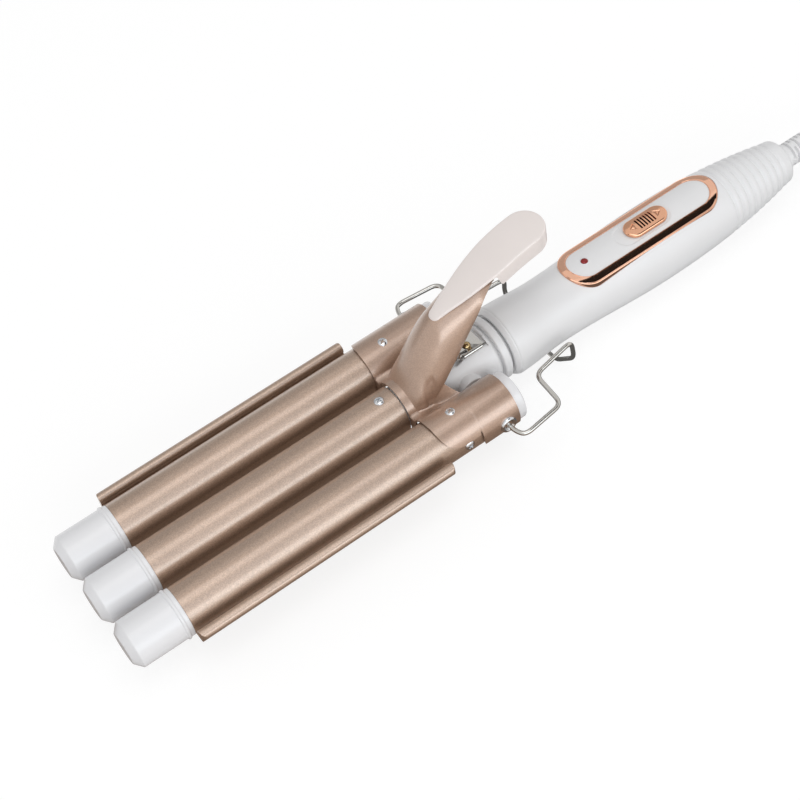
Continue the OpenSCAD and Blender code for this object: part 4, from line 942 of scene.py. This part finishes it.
def makeSpring(s):
    # a helix (x + r cos a, pitch a / 360 degrees, z + r sin a) between its two legs
    a = np.linspace(0, 2 * np.pi * s["turns"], 24 * s["turns"] + 1)
    y = s["pitch"] * (a / (2 * np.pi) - s["turns"] / 2)
    coil = np.stack([s["x"] + s["r"] * np.cos(a), y, s["z"] + s["r"] * np.sin(a)], -1)
    leg = np.array(s["leg"]) + [0, y[0], s["z"]]
    rise = np.array(s["rise"]) + [0, y[-1], s["z"]]
    makePiece("torsionSpring", [sweep(np.concatenate([leg, coil, rise]), ring(s["wire"], 12), up=(0, 1, 0.2))],
              "springSteel", "torsion_spring")


makeSpring(springSet)
print("lever, cover, screws, stand and spring made")


# the remaining nodes, merged and smoothed
def dressNode(name):
    mesh = nodes[name].data.copy()
    work = bmesh.new()
    work.from_mesh(mesh)
    bmesh.ops.remove_doubles(work, verts=work.verts, dist=2e-6)
    work.to_mesh(mesh)
    work.free()
    addPiece(name + "Skin", mesh, slotFinish[slotOf[name]], name, 30)


for name in nodes:
    if name not in done:
        dressNode(name)
print("nodes dressed")

# floor, world, lamps, and cards that only glossy surfaces see
studioSet = {
    "floorHalf": 4.0, "floorZ": -0.0003, "floorMix": 0.7, "floorGlow": 1.15, "worldSoft": 0.64,
    "lamps": [("frontBox", (-0.1, -1.65, 0.7), (2.2, 0.95), 10.0), ("topBox", (0.05, -0.15, 1.7), (1.2, 0.8), 3.9)],
    # name, corner, first side, second side, light
    "cards": [("frontCard", (-1.2, -1.9, 0.29), (2.2, 0, 0), (0, 0.36, 0.874), (1.25, 1.46, 1.62)),
              ("bridgeCard", (-1.2, -1.45, 0.95), (1.53, 0, 0), (0, 0.75, 0.55), (1.25, 1.34, 1.45)),
              ("switchCard", (0.33, -1.0, 1.2), (0.66, 0, 0), (0, 1.01, 0), (0.02, 0.02, 0.02)),
              # painted shadow: the next two cards are dark sheets under the object, the first tinted brown, that
              # glossy surfaces see in place of the floor's shadow, darkening the undersides in reflection
              ("underShadowCard", (-0.9, -0.085, 0.002), (0.895, 0, 0), (0, 0.14, 0), (0.2, 0.14, 0.105)),
              ("rearShadowCard", (-0.005, -0.085, 0.002), (0.905, 0, 0), (0, 0.14, 0), (0.16, 0.16, 0.16)),
              ("lowCard", (-0.9, -0.3, 0.002), (1.8, 0, 0), (0, 0.215, 0), (0.85, 0.76, 0.69)),
              ("backCard", (-1.5, 1.1, 0.02), (3.0, 0, 0), (0, 0, 1.28), (0.53, 0.53, 0.53)),
              ("highCard", (-1.5, 1.1, 1.3), (3.0, 0, 0), (0, -0.85, 0.42), (0.88, 0.88, 0.88))],
}


def cameraShare(tree, plain, shown):
    # plain light for the object, the white background for the camera and for gloss and glass
    link = tree.links.new
    rays = tree.nodes.new("ShaderNodeLightPath")
    first, second = (tree.nodes.new("ShaderNodeMath") for _ in range(2))
    first.operation = second.operation = "MAXIMUM"
    link(rays.outputs["Is Camera Ray"], first.inputs[0])
    link(rays.outputs["Is Glossy Ray"], first.inputs[1])
    link(first.outputs[0], second.inputs[0])
    link(rays.outputs["Is Transmission Ray"], second.inputs[1])
    pick = tree.nodes.new("ShaderNodeMixShader")
    link(second.outputs[0], pick.inputs["Fac"])
    link(plain.outputs[0], pick.inputs[1])
    link(shown.outputs[0], pick.inputs[2])
    return pick.outputs[0]


def makeStudio(s):
    far, low = s["floorHalf"], s["floorZ"]
    mesh = bpy.data.meshes.new("studioFloor")
    mesh.from_pydata([(-far, -far, low), (far, -far, low), (far, far, low), (-far, far, low)], [], [[0, 1, 2, 3]])
    floor = addObject("studioFloor", mesh)
    material = bpy.data.materials.new("studioFloor")
    material.use_nodes = True
    tree = material.node_tree
    plain = tree.nodes["Principled BSDF"]
    plain.inputs["Base Color"].default_value = (0.8, 0.8, 0.8, 1)
    plain.inputs["Roughness"].default_value = 0.9
    plain.inputs["Specular IOR Level"].default_value = 0.0
    glow = addNode(tree, "ShaderNodeEmission", Color=(1, 1, 1, 1), Strength=s["floorGlow"])
    mixed = addNode(tree, "ShaderNodeMixShader", Fac=s["floorMix"])
    tree.links.new(plain.outputs[0], mixed.inputs[1])
    tree.links.new(glow.outputs[0], mixed.inputs[2])
    tree.links.new(cameraShare(tree, plain, mixed), tree.nodes["Material Output"].inputs["Surface"])
    mesh.materials.append(material)

    world = bpy.data.worlds.new("studioWorld")
    bpy.context.scene.world = world
    world.use_nodes = True
    tree = world.node_tree
    tree.nodes.clear()
    soft = addNode(tree, "ShaderNodeBackground", Color=(1, 1, 1, 1), Strength=s["worldSoft"])
    white = addNode(tree, "ShaderNodeBackground", Color=(1, 1, 1, 1), Strength=1.0)
    out = tree.nodes.new("ShaderNodeOutputWorld")
    tree.links.new(cameraShare(tree, soft, white), out.inputs["Surface"])

    for name, place, size, power in s["lamps"]:
        data = bpy.data.lights.new(name, "AREA")
        data.shape = "RECTANGLE"
        data.size, data.size_y = size
        data.energy = power
        lamp = addObject(name, data)
        lamp.rotation_euler = (Vector(place) - Vector((0, 0, 0.02))).to_track_quat("Z", "Y").to_euler()
        lamp.location = place

    for name, corner, first, second, light in s["cards"]:
        mesh = bpy.data.meshes.new(name)
        c, a, b = (Vector(v) for v in (corner, first, second))
        mesh.from_pydata([c, c + a, c + a + b, c + b], [], [[0, 1, 2, 3]])
        material = bpy.data.materials.new(name)
        material.use_nodes = True
        shader = material.node_tree.nodes["Principled BSDF"]
        shader.inputs["Base Color"].default_value = (0, 0, 0, 1)
        shader.inputs["Specular IOR Level"].default_value = 0.0
        shader.inputs["Emission Color"].default_value = (*light, 1)
        shader.inputs["Emission Strength"].default_value = 1.0
        mesh.materials.append(material)
        card = addObject(name, mesh)
        card.visible_camera = card.visible_diffuse = card.visible_shadow = card.visible_transmission = False

    bpy.context.scene.view_settings.view_transform = "Standard"


makeStudio(studioSet)
print("studio made")
